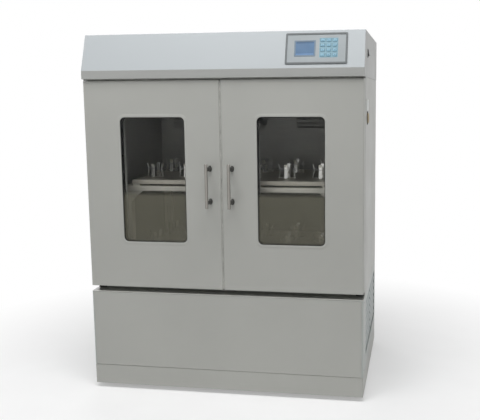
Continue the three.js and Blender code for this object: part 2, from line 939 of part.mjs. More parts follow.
function doorShell() {
  const y = [frontY, frontY + shellDepth];
  const plan = roundedRect(doorX, [y[0], y[1] + doorEdgeRadius * 2], doorEdgeRadius);
  const slab = cut(extrudeZ(plan, doorZ), [
    block(grown(doorX, overrun), [y[1], y[1] + overrun + doorEdgeRadius * 2], grown(doorZ, overrun)),
  ]);
  const hollow = block(grown(doorX, -sheet), [y[0] + sheet, y[1] + overrun], grown(doorZ, -sheet));
  const rimOutline = roundedRect(grown(windowX, rimWidth), grown(windowZ, rimWidth), windowRadius + rimWidth);
  const rim = extrudeY(rimOutline, [frontY - rimProud, frontY + rimProud + sheet], rimProud);
  const rimBack = block(doorX, [frontY + sheet, frontY + overrun + sheet], doorZ);
  const bores = [doorZ[0], doorZ[1]].map((z) => rodZ(
    hingeAxis,
    boreRadius(hingeBoreRadius, smallSides),
    span(z, overrun),
    smallSides,
  ));
  const skin = join([cut(slab, [hollow]), cut(rim, [rimBack])]);
  return cut(skin, [windowSolid(0, [frontY - overrun, frontY + overrun]), ...bores]);
}

function doorGlass() {
  const y = [glassFrontY, glassBackY];
  const radius = windowRadius;
  const unit = windowSolid(glassOverlap, y, radius);
  const space = windowSolid(glassOverlap - spacerWidth, [y[0] + glassPane, y[1] - glassPane], radius);
  const breather = block(
    span((windowX[0] + windowX[1]) / 2, breatherSize),
    span((y[0] + y[1]) / 2, breatherSize),
    [windowZ[1] - glassOverlap - spacerWidth, windowZ[1] + glassOverlap + overrun],
  );
  return cut(unit, [space, breather]);
}

function windowSeal() {
  const ring = windowSolid(glassOverlap + sealWall, [sealFrontY, sealBackY]);
  const sight = windowSolid(-sealReach, [sealFrontY - overrun, sealBackY + overrun]);
  const grooveY = [glassFrontY - seatGap, glassBackY + seatGap];
  const groove = windowSolid(glassOverlap + seatGap, grooveY, windowRadius);
  return cut(ring, [sight, groove]);
}

function doorLiner() {
  const plate = block(grown(doorX, -linerMargin), linerPlateY, grown(doorZ, -linerMargin));
  const tunnel = windowSolid(tunnelWall, [sealBackY + seatGap, linerPlateY[1]]);
  const bores = [doorZ[0], doorZ[1]].map((z) => rodZ(hingeAxis, hingePinRadius, span(z, overrun)));
  const mouth = windowSolid(0, [sealBackY - overrun, linerPlateY[1] + overrun]);
  return cut(join([plate, tunnel]), [mouth, ...bores]);
}

function doorGasket() {
  const y = [linerPlateY[1] + seatGap, casingFrontY - seatGap];
  const x = [gasketCentreGap, halfWidth - gasketInset];
  const z = grown(doorZ, -gasketInset);
  const middleY = y[1] - gasketLipDepth;
  const foot = cut(block(x, [y[0], y[1]], z), [
    block(grown(x, -gasketWidth), grown(y, overrun), grown(z, -gasketWidth)),
  ]);
  const lipIn = (gasketWidth - gasketLipWidth) / 2;
  const bulbY = [middleY - overrun, y[1] + overrun + overrun];
  const bulb = cut(block(grown(x, -lipIn), bulbY, grown(z, -lipIn)), [
    block(
      grown(x, -lipIn - gasketLipWidth),
      grown(y, overrun + overrun),
      grown(z, -lipIn - gasketLipWidth),
    ),
  ]);
  const relief = cut(
    block(grown(x, overrun), [middleY, y[1] + overrun], grown(z, overrun)),
    [bulb],
  );
  return cut(foot, [relief]);
}

function ellipsePoints(centre, width, height, sides) {
  return Array.from({ length: sides }, (_, i) => {
    const angle = (2 * Math.PI * i) / sides;
    return [centre[0] + Math.cos(angle) * width / 2, centre[1] + Math.sin(angle) * height / 2];
  });
}

// A handle foot tapers from an oval on the door to a smaller oval at the bar
function handleFoot(z) {
  const barY = frontY - handleProud + handleBarRadius + handleBarRadius / 3;
  const base = ellipsePoints([handleOffset, z], handleFootWidth, handleFootHeight, smallSides);
  const neck = ellipsePoints([handleOffset, z], handleNeckWidth, handleNeckHeight, smallSides);
  const positions = [];
  base.forEach(([x, height]) => positions.push(x, frontY - seatGap, height));
  neck.forEach(([x, height]) => positions.push(x, barY, height));
  positions.push(handleOffset, frontY - seatGap, z, handleOffset, barY, z);
  const index = [];
  for (let i = 0; i < smallSides; i += 1) {
    const next = (i + 1) % smallSides;
    index.push(i, next, smallSides + i);
    index.push(next, smallSides + next, smallSides + i);
    index.push(2 * smallSides, next, i);
    index.push(2 * smallSides + 1, smallSides + i, smallSides + next);
  }
  const geometry = new THREE.BufferGeometry();
  geometry.setAttribute('position', new THREE.BufferAttribute(new Float32Array(positions), 3));
  geometry.setIndex(index);
  return solidOf(geometry);
}

function doorHandle() {
  const middle = doorFoot + handleFootLevel + handlePitch / 2;
  const bar = rodZ(
    [handleOffset, frontY - handleProud + handleBarRadius],
    handleBarRadius,
    span(middle, handleLength),
    smallSides,
  );
  return join([bar, ...span(middle, handlePitch).map(handleFoot)]);
}

// Each bracket has a flange on the casing, a plate and a pin that enters the door's edge

function hingeBracket(plateZ, pinZ, flangeZ, washerZ) {
  const x = span(hingeAxis[0], hingePlateWidth);
  const backY = casingFrontY - seatGap;
  const pieces = [
    block(x, [hingeAxis[1] - hingePlateLead, backY], plateZ),
    block(x, [backY - sheet, backY], flangeZ),
    rodZ(hingeAxis, hingePinRadius, pinZ, smallSides),
  ];
  if (washerZ[1] > washerZ[0]) pieces.push(rodZ(hingeAxis, washerRadius, washerZ, smallSides));
  return join(pieces);
}

function upperHinge() {
  const plate = [doorTop + hingeTopClear, doorTop + hingeTopClear + hingePlate];
  const flange = [plate[1] - hingeFlangeHeight, plate[1]];
  return hingeBracket(plate, [doorTop - hingePinLength, plate[1]], flange, [0, 0]);
}

function lowerHinge() {
  const plate = [doorFoot - hingeLowClear - hingePlate, doorFoot - hingeLowClear];
  const flange = [baseTop + seatGap + seatGap, plate[1]];
  const washer = [plate[1] - hingePlate / 2, doorFoot - seatGap];
  return hingeBracket(plate, [plate[0], doorFoot + hingePinLength], flange, washer);
}

// Shaking platform: a welded tube frame on three crank pins carries two trays

const trayWidth = 2 * (platformHalf - trayInset);

function railRing(z) {
  const x = [-platformHalf, platformHalf];
  const y = [platformY, platformY + platformDepth];
  return cut(block(x, y, z), [block(grown(x, -legWidth), grown(y, -legWidth), grown(z, overrun))]);
}

function trayPads(z) {
  const x = trayWidth / 2 - trayPadWidth / 2 - traySheet - seatGap;
  const places = [[-x, platformY], [x, platformY]];
  const far = platformY + platformDepth - trayPadWidth - traySheet - seatGap;
  return places.flatMap(([middle, near]) => [near + traySheet + seatGap, far].map((y) => block(
    span(middle, trayPadWidth),
    [y, y + trayPadWidth],
    [z - trayPad, z + trayPad + trayHeight - traySheet - seatGap],
  )));
}

function gusset(side, legTop) {
  const inner = (platformHalf - legWidth) * side;
  const points = [
    [inner + side * sheet, legTop + sheet],
    [inner - side * gussetSize, legTop + sheet],
    [inner - side * gussetSize, legTop],
    [inner, legTop - gussetSize],
    [inner + side * sheet, legTop - gussetSize],
  ];
  if (side < 0) points.reverse();
  return extrudeY(outline(points), [platformY, platformY + gussetSheet]);
}

function bearingBlock(axis) {
  const centre = [axis[0], axis[1] + orbitRadius];
  const foot = lowRailFoot - bearingDrop;
  return rodZ(centre, bearingRadius, [foot, foot + bearingHeight]);
}

function bearingBore(axis) {
  const centre = [axis[0], axis[1] + orbitRadius];
  const foot = lowRailFoot - bearingDrop;
  const top = foot + bearingHeight - bearingRoof;
  return rodZ(centre, boreRadius(crankPinRadius + crankPinClearance), [foot - overrun, top]);
}

function shakerFrame() {
  const lowRail = [lowRailFoot, lowRailFoot + lowRailHeight];
  const highRail = [highRailTop - highRailHeight, highRailTop];
  const legX = [-platformHalf + legWidth / 2, platformHalf - legWidth / 2];
  const legY = [platformY + legWidth / 2, platformY + platformDepth - legWidth / 2];
  const legs = legX.flatMap((x) => legY.map((y) => block(
    span(x, legWidth),
    span(y, legWidth),
    [lowRail[0], highRail[1]],
  )));
  const beams = crankAxes.map((axis) => block(
    span(axis[0], beamWidth),
    grown([platformY, platformY + platformDepth], -legWidth / 2),
    [lowRail[0], lowRail[0] + beamHeight],
  ));
  const pads = [...trayPads(lowRail[1]), ...trayPads(highRail[1])];
  const gussets = [-1, 1].map((side) => gusset(side, highRail[0]));
  const bodies = [railRing(lowRail), railRing(highRail), ...legs, ...beams, ...pads, ...gussets];
  return cut(join([...bodies, ...crankAxes.map(bearingBlock)]), crankAxes.map(bearingBore));
}

// A flask clamp: two bent strips that cross under the flask and rise as four sprung fingers
function clampStripOutline(z) {
  const waistZ = z + clampHeight * clampWaistShare;
  const rise = [
    [clampRadius, z],
    [clampRadius - clampWaist, waistZ],
    [clampRadius - clampWaist + clampFlare, z + clampHeight],
  ];
  const inner = rise.map(([x, height]) => [x - clampSheet, height]).reverse();
  inner[inner.length - 1] = [clampRadius - clampSheet, z + clampSheet];
  const right = [...rise, ...inner];
  const left = right.map(([x, height]) => [-x, height]).reverse();
  const foot = z - traySheet / 2;
  return outline([[clampRadius, foot], ...right, ...left, [-clampRadius, foot]]);
}

function flaskClamp(x, y, z) {
  const shape = clampStripOutline(z);
  return [0, Math.PI / 2].map((turn) => {
    const geometry = extrudeGeometry(shape, clampStrip);
    geometry.translate(0, 0, -clampStrip / 2);
    geometry.rotateX(Math.PI / 2);
    geometry.rotateZ(turn);
    geometry.translate(x, y, 0);
    return solidOf(geometry);
  });
}

function tray(foot) {
  const x = span(0, trayWidth);
  const y = [platformY, platformY + platformDepth];
  const z = [foot, foot + trayHeight];
  const pan = cut(block(x, y, z), [
    block(grown(x, -traySheet), grown(y, -traySheet), [z[0] - overrun, z[1] - traySheet]),
  ]);
  const pitchX = (trayWidth - clampMarginX - clampMarginX) / (clampColumns - 1);
  const pitchY = (platformDepth - clampMarginY - clampMarginY) / (clampRows - 1);
  const clamps = [];
  for (const across of evenly(clampColumns, pitchX)) {
    for (const along of evenly(clampRows, pitchY)) {
      clamps.push(...flaskClamp(across, platformY + platformDepth / 2 + along, z[1]));
    }
  }
  return join([pan, ...clamps]);
}

// Orbital drive: a belt turns the drive crank, and two idler cranks keep the platform square

function crankHead(axis) {
  const z = [crankFoot, crankFoot + crankThickness];
  const weight = new THREE.Shape();
  const half = THREE.MathUtils.degToRad(weightSpread / 2);
  weight.moveTo(0, 0);
  weight.absarc(0, 0, weightRadius, -Math.PI / 2 - half, -Math.PI / 2 + half, false);
  weight.lineTo(0, 0);
  const geometry = extrudeGeometry(weight, z[1] - z[0]);
  geometry.translate(axis[0], axis[1], z[0]);
  return join([
    rodZ(axis, crankDiscRadius, z),
    solidOf(geometry),
    rodZ([axis[0], axis[1] + orbitRadius], crankPinRadius, [z[0], z[0] + crankPinHeight]),
  ]);
}

// A grooved rim, a web and a hub
function pulleyProfile(radius, z) {
  const bottom = radius - grooveDepth;
  return [
    [0, z[0]],
    [radius, z[0]],
    [radius, z[0] + pulleyFlange],
    [bottom, z[0] + pulleyFlange],
    [bottom, z[1] - pulleyFlange],
    [radius, z[1] - pulleyFlange],
    [radius, z[1]],
    [0, z[1]],
  ];
}

const pulleyZ = [railTop + pulleyRise, railTop + pulleyRise + pulleyHeight];

function crankPulley() {
  const z = pulleyZ;
  const rim = turned(driveAxis, pulleyProfile(pulleyRadius, z), fineSides);
  const inner = pulleyRadius - grooveDepth - webThickness;
  const web = (pulleyHeight - webThickness) / 2;
  const dishes = [[z[0] - overrun, z[0] + web], [z[1] - web, z[1] + overrun]].map((range) => cut(
    rodZ(driveAxis, inner, range),
    [rodZ(driveAxis, hubRadius, grown(range, overrun))],
  ));
  const holes = Array.from({ length: spokeHoles }, (_, i) => {
    const angle = (2 * Math.PI * i) / spokeHoles;
    const centre = [
      driveAxis[0] + Math.cos(angle) * spokeHoleCircle,
      driveAxis[1] + Math.sin(angle) * spokeHoleCircle,
    ];
    return rodZ(centre, spokeHoleRadius, grown(z, overrun), smallSides);
  });
  return cut(rim, [...dishes, ...holes]);
}

function driveCrank() {
  const shaft = rodZ(driveAxis, shaftRadius, [housingFoot, crankFoot + crankThickness / 2]);
  return join([crankHead(driveAxis), shaft, crankPulley()]);
}

function idlerCrank(axis) {
  const shaft = rodZ(axis, shaftRadius, [housingFoot, crankFoot + crankThickness / 2]);
  return join([crankHead(axis), shaft]);
}

const chassisTop = railTop + seatGap + chassisPlate;

function bearingHousing(axis) {
  return turned(axis, [
    [0, housingFoot],
    [housingRadius, housingFoot],
    [housingRadius, chassisTop],
    [flangeRadius, chassisTop],
    [flangeRadius, chassisTop + flangeHeight],
    [0, chassisTop + flangeHeight],
  ]);
}

function driveChassis() {
  const reach = frameHalf - frameGap;
  const plateZ = [railTop + seatGap, chassisTop];
  const beams = [driveAxis[1], idlerAxes[0][1]].map((y) => {
    const channel = block([-reach, reach], span(y, chassisWeb), plateZ);
    const flanges = span(y, chassisWeb - chassisPlate).map((edge) => block(
      grown([-reach, reach], -railWidth),
      span(edge, chassisPlate),
      [chassisTop - chassisBeam, chassisTop],
    ));
    return join([channel, ...flanges]);
  });
  const bridge = block(
    span(motorAxis[0] / 2, motorSpread + motorFlangeWidth),
    [idlerAxes[0][1], driveAxis[1]],
    plateZ,
  );
  const body = join([...beams, bridge, ...crankAxes.map(bearingHousing)]);
  const bores = crankAxes.map((axis) => rodZ(
    axis,
    boreRadius(shaftRadius + shaftClearance),
    [housingFoot - overrun, chassisTop + flangeHeight + overrun],
  ));
  const motorBore = rodZ(motorAxis, hubRadius, grown(plateZ, overrun));
  return cut(body, [...bores, motorBore]);
}

function driveMotor() {
  const top = railTop;
  const body = turned(motorAxis, [
    [0, top - motorLength],
    [motorRadius / 2, top - motorLength],
    [motorRadius, top - motorLength + motorFlange * 2],
    [motorRadius, top - motorFlange / 2],
    [0, top - motorFlange / 2],
  ]);
  const flange = block(
    span(motorAxis[0], motorFlangeWidth),
    span(motorAxis[1], motorFlangeWidth),
    [top - motorFlange, top],
  );
  const ribs = Array.from({ length: motorRibs }, (_, i) => {
    const geometry = new THREE.BoxGeometry(motorRibDepth * 2, motorRibWidth, motorLength - motorFlange * 5);
    geometry.translate(motorRadius, 0, top - motorLength / 2);
    geometry.rotateZ((2 * Math.PI * i) / motorRibs);
    geometry.translate(motorAxis[0], motorAxis[1], 0);
    return solidOf(geometry);
  });
  const bore = rodZ(
    motorAxis,
    boreRadius(motorShaftRadius + shaftClearance),
    [top - motorBoreDepth, top + overrun],
  );
  return cut(join([body, flange, ...ribs]), [bore]);
}

function motorPulley() {
  const rim = turned(motorAxis, pulleyProfile(motorPulleyRadius, pulleyZ));
  const shaft = rodZ(motorAxis, motorShaftRadius, [railTop - motorBoreDepth + shaftClearance, pulleyZ[1]]);
  return join([rim, shaft]);
}

// The belt's outline wraps both pulleys with straight runs between them
function beltOutline(extra) {
  const large = pulleyRadius - grooveDepth + beltClearance + extra;
  const small = motorPulleyRadius - grooveDepth + beltClearance + extra;
  const lean = Math.acos((large - small) / motorSpread);
  const arcPoints = (centre, radius, from, to, sides) => {
    const step = (to - from) / sides;
    const reach = radius / Math.cos(step / 2);
    return Array.from({ length: sides + 1 }, (_, i) => {
      const angle = from + step * i;
      return [centre[0] + Math.cos(angle) * reach, centre[1] + Math.sin(angle) * reach];
    });
  };
  const aside = Math.PI - lean;
  return outline([
    ...arcPoints(driveAxis, large, -aside, aside, roundSides),
    ...arcPoints(motorAxis, small, aside, 2 * Math.PI - aside, smallSides),
  ]);
}

function driveBelt() {
  const z = grown(pulleyZ, -pulleyFlange - beltEdgeClear);
  return cut(extrudeZ(beltOutline(beltThickness), z), [extrudeZ(beltOutline(0), grown(z, overrun))]);
}

// Circulation: a duct across the chamber's rear wall, with the fan in its middle

const ductBackY = linerBackY - sheet - seatGap;
const ductFrontY = ductBackY - ductDepth;
const ductWidth = chamberWidth - ductSideGap - ductSideGap;
const ductTop = linerTop - sheet - ductCeilingGap;
const ductFoot = ductTop - ductHeight;
const fanCentre = [0, ductFoot + ductHeight / 2];
const fanMotorY = [ductBackY - sheet - fanMotorLength, ductBackY];

function fanDuct() {
  const x = span(0, ductWidth);
  const z = [ductFoot, ductTop];
  const shell = cut(block(x, [ductFrontY, ductBackY], z), [
    block(grown(x, -sheet), [ductFrontY + sheet, ductBackY + overrun], grown(z, -sheet)),
    rodY(fanCentre, fanRadius + fanClearance, [ductFrontY - overrun, ductFrontY + overrun]),
  ]);
  const guards = Array.from({ length: guardBars }, (_, i) => {
    const reach = fanRadius + fanClearance + sheet;
    const geometry = new THREE.BoxGeometry(reach * 2, sheet, guardWidth);
    geometry.rotateY((Math.PI * i) / guardBars);
    geometry.translate(fanCentre[0], ductFrontY + sheet / 2, fanCentre[1]);
    return solidOf(geometry);
  });
  const bar = block(x, [ductBackY - sheet, ductBackY], span(fanCentre[1], fanMotorBar));
  const motor = rodY(fanCentre, fanMotorRadius, fanMotorY);
  const slots = [];
  const spread = ductWidth / 2 - ductGrilleInset - ductGrilleWidth / 2;
  for (const side of [-1, 1]) {
    for (const level of evenly(ductSlots, ductSlotHeight * 2)) {
      slots.push(block(
        span(side * spread, ductGrilleWidth),
        [ductFrontY - overrun, ductFrontY + overrun],
        span(fanCentre[1] + level, ductSlotHeight),
      ));
    }
  }
  const bore = rodY(
    fanCentre,
    boreRadius(fanShaftRadius + shaftClearance, smallSides),
    [fanMotorY[0] - overrun, fanMotorY[0] + fanShaftReach],
    smallSides,
  );
  return cut(join([shell, ...guards, bar, motor]), [...slots, bore]);
}

// A fan wheel whose axis lies along Y: a hub and pitched blades
function fanWheel(radius, hub, width, blades) {
  const root = hub * rootShare;
  const tips = bladeTipShares.map(([across, out]) => [width * across, radius * out]);
  const shape = outline([[-width / 2, root], [width / 2, root], ...tips]);
  const solids = Array.from({ length: blades }, (_, i) => {
    const geometry = extrudeGeometry(shape, fanBladeSheet);
    geometry.translate(0, 0, -fanBladeSheet / 2);
    geometry.rotateX(Math.PI / 2);
    geometry.rotateZ(THREE.MathUtils.degToRad(fanBladePitch));
    geometry.rotateY((2 * Math.PI * i) / blades);
    return solidOf(geometry);
  });
  return join([rodY([0, 0], hub, [-width / 2, width / 2]), ...solids]);
}

function moved(solid, offset) {
  const geometry = geometryOf(solid, 1);
  geometry.translate(offset[0], offset[1], offset[2]);
  return solidOf(geometry);
}

function circulationFan() {
  const middleY = (ductFrontY + sheet + fanMotorY[0]) / 2;
  const wheel = fanWheel(fanRadius, fanHubRadius, fanBladeWidth, fanBlades);
  const shaft = rodY(
    fanCentre,
    fanShaftRadius,
    [middleY, fanMotorY[0] + fanShaftReach - shaftClearance],
    smallSides,
  );
  return join([moved(wheel, [fanCentre[0], middleY, fanCentre[1]]), shaft]);
}

// Refrigeration: a hermetic compressor, and a finned condenser with its own fan

const compressorAxis = [halfWidth - compressorInset, rearY - compressorRearGap];
const beamFoot = chassisTop - chassisBeam;
const floorTop = baseFoot + sheet;

function compressor() {
  const sole = floorTop + seatGap;
  const plate = sole + compressorGrommet;
  const low = plate + compressorFootSheet;
  const top = beamFoot - compressorHeadroom;
  const waist = (low + top) / 2;
  const dome = compressorRadius * domeShare;
  const pot = turned(compressorAxis, [
    [0, plate],
    [compressorRadius - dome, plate],
    [compressorRadius, low + dome / 2],
    [compressorRadius, waist],
    [compressorRadius + compressorBand, waist],
    [compressorRadius + compressorBand, waist + compressorBandHeight],
    [compressorRadius, waist + compressorBandHeight],
    [compressorRadius, top - dome],
    [compressorRadius - dome / 3, top - dome / 3],
    [compressorRadius - dome, top],
    [0, top],
  ]);
  const footPlate = block(
    span(compressorAxis[0], compressorFoot),
    span(compressorAxis[1], compressorFoot - compressorGrommetRadius * 3),
    [plate, low],
  );
  const inset = compressorFoot / 2 - compressorGrommetRadius;
  const depth = (compressorFoot - compressorGrommetRadius * 3) / 2 - compressorGrommetRadius;
  const grommets = [[-1, -1], [1, -1], [-1, 1], [1, 1]].map(([u, v]) => rodZ(
    [compressorAxis[0] + inset * u, compressorAxis[1] + depth * v],
    compressorGrommetRadius,
    [sole, low + compressorFootSheet],
    smallSides,
  ));
  const terminalBox = block(
    span(compressorAxis[0], compressorBoxWidth),
    [compressorAxis[1] - compressorRadius - compressorBoxDepth, compressorAxis[1]],
    span((low + waist) / 2 + compressorBand, compressorBoxHeight),
  );
  return join([pot, footPlate, ...grommets, terminalBox]);
}

const condenserX = [halfWidth - condenserInset, halfWidth - condenserInset + condenserDepth];
const condenserY = [
  frontY + condenserSetback,
  compressorAxis[1] - compressorRadius - compressorBoxDepth - condenserGap,
];
const condenserZ = [floorTop + seatGap, beamFoot - condenserHeadroom];
const condenserHeight = condenserZ[1] - condenserZ[0];
const coolFanRadius = Math.min(condenserHeight, condenserY[1] - condenserY[0]) / 2 - coolFanMargin;
const coolFanCentre = [(condenserY[0] + condenserY[1]) / 2, (condenserZ[0] + condenserZ[1]) / 2];

function condenser() {
  const coil = block(condenserX, condenserY, condenserZ);
  const shroudX = [condenserX[0] - shroudDepth, condenserX[0] + shroudSheet / 2];
  const shroudHollow = [shroudX[0] + shroudSheet, condenserX[0]];
  const shroud = cut(block(shroudX, condenserY, condenserZ), [
    block(shroudHollow, grown(condenserY, -shroudSheet), grown(condenserZ, -shroudSheet)),
    rodX(coolFanCentre, coolFanRadius + coolFanClearance, [shroudX[0] - overrun, shroudX[0] + overrun]),
  ]);
  const pitch = (condenserHeight - condenserFinCut) / condenserFins;
  const gaps = evenly(condenserFins, pitch).map((z) => block(
    [condenserX[1] - condenserFinCut, condenserX[1] + overrun],
    grown(condenserY, -condenserFinCut),
    span(coolFanCentre[1] + z, pitch - shroudSheet),
  ));
  const pinX = [condenserX[0] - shroudDepth / 3, condenserX[0] + shroudSheet];
  const pin = rodX(coolFanCentre, coolMotorRadius, pinX);
  const bore = rodX(
    coolFanCentre,
    boreRadius(fanShaftRadius + shaftClearance, smallSides),
    [condenserX[0] - shroudDepth, condenserX[0] - shroudSheet],
    smallSides,
  );
  return cut(join([coil, shroud, pin]), [...gaps, bore]);
}

function condenserFan() {
  const wheel = fanWheel(coolFanRadius, coolFanHubRadius, coolFanWidth, coolFanBlades);
  const geometry = geometryOf(wheel, 1);
  geometry.rotateZ(-Math.PI / 2);
  const middleX = condenserX[0] - shroudDepth / 3 - shaftClearance - coolFanWidth / 2;
  geometry.translate(middleX, coolFanCentre[0], coolFanCentre[1]);
  const shaft = rodX(
    coolFanCentre,
    fanShaftRadius,
    [middleX, condenserX[0] - shroudSheet - shaftClearance],
    smallSides,
  );
  return join([solidOf(geometry), shaft]);
}

// Assembly

function addBase() {
  addPiece('base_frame', baseFrame(), bodyPaint());
  addPiece('base_front_panel', baseFrontPanel(), bodyPaint());
  addPiece('base_right_panel', baseSidePanel(), ventPaint());
  addPiece('base_left_panel', baseSidePanel(), ventPaint(), -1);
  addPiece('rear_cover', rearCover(), bodyPaint());
  const x = halfWidth - footInset;
  const places = {
    front_left: [-x, frontY + footSetback],
    front_right: [x, frontY + footSetback],
    rear_left: [-x, rearY - footSetback],
    rear_right: [x, rearY - footSetback],
  };
  for (const [name, centre] of Object.entries(places)) addPiece(`foot_${name}`, foot(centre), blackRubber());
}

function addCabinet() {
  addPiece('cabinet_casing', cabinetCasing(), bodyPaint());
  addPiece('insulation_jacket', insulationJacket(), woolQuilt());
  addPiece('chamber_liner', chamberLiner(), stainless());
}

function addHead() {
  addPiece('control_head', controlHead(), headPaint());
  addPiece('control_panel', controlPanel(), panelGrey());
  addPiece('display_window', displayWindow(), displayBlue());
  for (const key of keyPlaces) addPiece(key.name, panelKey(key), keyBlue());
  addPiece('switch_housing', switchHousing(), darkPlastic());
  addPiece('switch_rocker', switchRocker(), darkPlastic());
}

function addDoor(name, side) {
  addPiece(`${name}_door_shell`, doorShell(), bodyPaint(), side);
  addPiece(`${name}_door_liner`, doorLiner(), panelGrey(), side);
  addPiece(`${name}_door_glass`, doorGlass(), clearGlass(), side);
  addPiece(`${name}_window_seal`, windowSeal(), blackRubber(), side);
  addPiece(`${name}_door_gasket`, doorGasket(), blackRubber(), side);
  addPiece(`${name}_door_handle`, doorHandle(), satinSteel(), side);
  addPiece(`${name}_upper_hinge`, upperHinge(), satinSteel(), side);
  addPiece(`${name}_lower_hinge`, lowerHinge(), satinSteel(), side);
}

function addPlatform() {
  addPiece('shaker_frame', shakerFrame(), stainless());
  addPiece('lower_tray', tray(lowRailFoot + lowRailHeight + trayPad), stainless());
  addPiece('upper_tray', tray(highRailTop + trayPad), stainless());
}

function addDrive() {
  addPiece('drive_chassis', driveChassis(), castIron());
  addPiece('drive_motor', driveMotor(), motorPaint());
  addPiece('motor_pulley', motorPulley(), aluminium());
  addPiece('drive_belt', driveBelt(), blackRubber());
  addPiece('drive_crank', driveCrank(), castIron());
  addPiece('idler_crank_left', idlerCrank(idlerAxes[0]), castIron());
  addPiece('idler_crank_right', idlerCrank(idlerAxes[1]), castIron());
}

function addAir() {
  addPiece('fan_duct', fanDuct(), stainless());
  addPiece('circulation_fan', circulationFan(), aluminium());
  addPiece('compressor', compressor(), blackPaint());
  addPiece('condenser', condenser(), aluminium());
  addPiece('condenser_fan', condenserFan(), darkPlastic());
}

addBase();
addCabinet();
addHead();
addDoor('left', -1);
addDoor('right', 1);
addPlatform();
addDrive();
addAir();

export default part;
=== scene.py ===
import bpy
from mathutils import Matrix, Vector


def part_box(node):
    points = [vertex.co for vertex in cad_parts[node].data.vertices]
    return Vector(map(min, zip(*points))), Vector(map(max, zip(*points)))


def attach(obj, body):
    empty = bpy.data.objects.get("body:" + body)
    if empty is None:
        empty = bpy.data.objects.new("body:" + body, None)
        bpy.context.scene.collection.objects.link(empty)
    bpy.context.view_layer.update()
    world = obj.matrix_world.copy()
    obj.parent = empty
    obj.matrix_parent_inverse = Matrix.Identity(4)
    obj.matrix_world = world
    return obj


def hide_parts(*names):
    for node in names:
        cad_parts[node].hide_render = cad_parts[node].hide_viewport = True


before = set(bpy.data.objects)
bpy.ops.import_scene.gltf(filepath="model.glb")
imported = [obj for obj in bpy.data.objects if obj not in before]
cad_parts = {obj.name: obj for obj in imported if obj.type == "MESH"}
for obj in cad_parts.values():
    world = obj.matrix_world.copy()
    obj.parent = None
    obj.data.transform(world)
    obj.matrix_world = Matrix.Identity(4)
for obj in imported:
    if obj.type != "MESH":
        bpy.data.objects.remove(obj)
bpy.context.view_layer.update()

import math

import bmesh
import bpy
from bpy.props import FloatProperty, FloatVectorProperty, IntProperty, PointerProperty
from mathutils import Matrix, Vector

bl_info = {
    "name": "Upright shaker incubator",
    "version": (1, 0, 0),
    "blender": (4, 5, 0),
    "location": "View3D > Sidebar > Incubator",
    "description": "Finishes, rounded sheet metal and small pieces of a two-door shaker incubator",
    "category": "Object",
}

MM = 0.001
SIDES = {"left": -1, "right": 1}
TRAYS = ("lower", "upper")


# Colours, sizes and lights that a user would change

def colour_property(name, description, default):
    return FloatVectorProperty(
        name=name, description=description, default=default, size=3, min=0, max=1, subtype="COLOR_GAMMA",
    )


def length_property(name, description, default):
    return FloatProperty(
        name=name, description=description, default=default, min=0, unit="LENGTH", precision=5,
    )


def power_property(name, description, default):
    return FloatProperty(name=name, description=description, default=default, min=0, unit="POWER")


class PaintSettings(bpy.types.PropertyGroup):
    body: colour_property("Body", "Powder coat on the cabinet, doors and base", (0.708, 0.710, 0.690))
    # head: a lighter, cooler copy of the body coat for upward faces, painted sky reflection and top light
    head: colour_property("Head", "Powder coat on the head's slope and top", (0.718, 0.738, 0.748))
    # lip: a slightly darker copy of the body coat, painted shade on the head's lip and sides
    lip: colour_property("Lip", "Powder coat on the head's lip and sides", (0.678, 0.682, 0.672))
    vents: colour_property("Vents", "Powder coat on the base's side panels", (0.71, 0.725, 0.71))
    # recess: a darker copy of the vents coat, painted shade in the side panels' set-back part
    recess: colour_property("Recess", "The same coat where the side panels are set back", (0.55, 0.59, 0.60))
    peel: length_property("Peel", "Size of the powder coat's orange peel", 0.0022)
    edge: length_property("Fold radius", "Outer radius of a folded sheet edge", 0.0009)


class MetalSettings(bpy.types.PropertyGroup):
    stainless: colour_property("Stainless", "Brushed sheet of the chamber", (0.69, 0.69, 0.67))
    tray: colour_property("Tray", "Satin sheet of the flask trays", (0.87, 0.855, 0.80))
    platform: colour_property("Platform", "Satin sheet of the trays' frame", (0.98, 0.97, 0.92))
    clamp: colour_property("Clamp", "Polished spring steel of the flask clamps", (0.97, 0.97, 0.95))
    handle: colour_property("Handle bar", "Satin steel of the pull bars", (0.56, 0.55, 0.53))
    handle_foot: colour_property("Handle foot", "Dark cast feet of the pull bars", (0.30, 0.30, 0.29))
    zinc: colour_property("Zinc", "Plated screws and foot stems", (0.62, 0.63, 0.63))
    hinge: colour_property("Hinge", "Blackened steel of the hinges", (0.13, 0.13, 0.125))
    casting: colour_property("Casting", "Iron of the cranks and the drive bed", (0.29, 0.30, 0.31))
    screw: length_property("Screw head", "Radius of a cover screw's head", 0.0042)


class PanelSettings(bpy.types.PropertyGroup):
    plate: colour_property("Plate", "Printed film of the control panel", (0.585, 0.61, 0.62))
    border: colour_property("Border", "Moulded border of the control panel", (0.36, 0.38, 0.385))
    key: colour_property("Key", "Domed membrane keys", (0.47, 0.635, 0.71))
    key_field: colour_property("Key field", "Printed field between the keys", (0.46, 0.60, 0.655))
    display: colour_property("Display", "Blue display glass", (0.34, 0.45, 0.57))
    bezel: colour_property("Bezel", "Bezel of the display", (0.40, 0.47, 0.53))
    band: colour_property("Band", "Lit band along the display's foot", (0.42, 0.54, 0.69))
    shade: colour_property("Shade", "Darker band along the display's head", (0.28, 0.38, 0.49))


class WindowSettings(bpy.types.PropertyGroup):
    tint: colour_property("Tint", "Tint of the double glazing's upper half", (0.04, 0.05, 0.055))
    # film: painted reflection, a brownish tone laid over the lower part of each pane
    film: colour_property("Film", "Dusty film that thickens down the double glazing", (0.43, 0.42, 0.35))
    rubber: colour_property("Rubber", "Window seals and feet", (0.13, 0.13, 0.13))
    gasket: colour_property("Gasket", "Soft door gaskets", (0.42, 0.42, 0.41))
    corner_steps: IntProperty(name="Corner steps", description="Steps in a window's corner", default=10,
                              min=2, subtype="UNSIGNED")


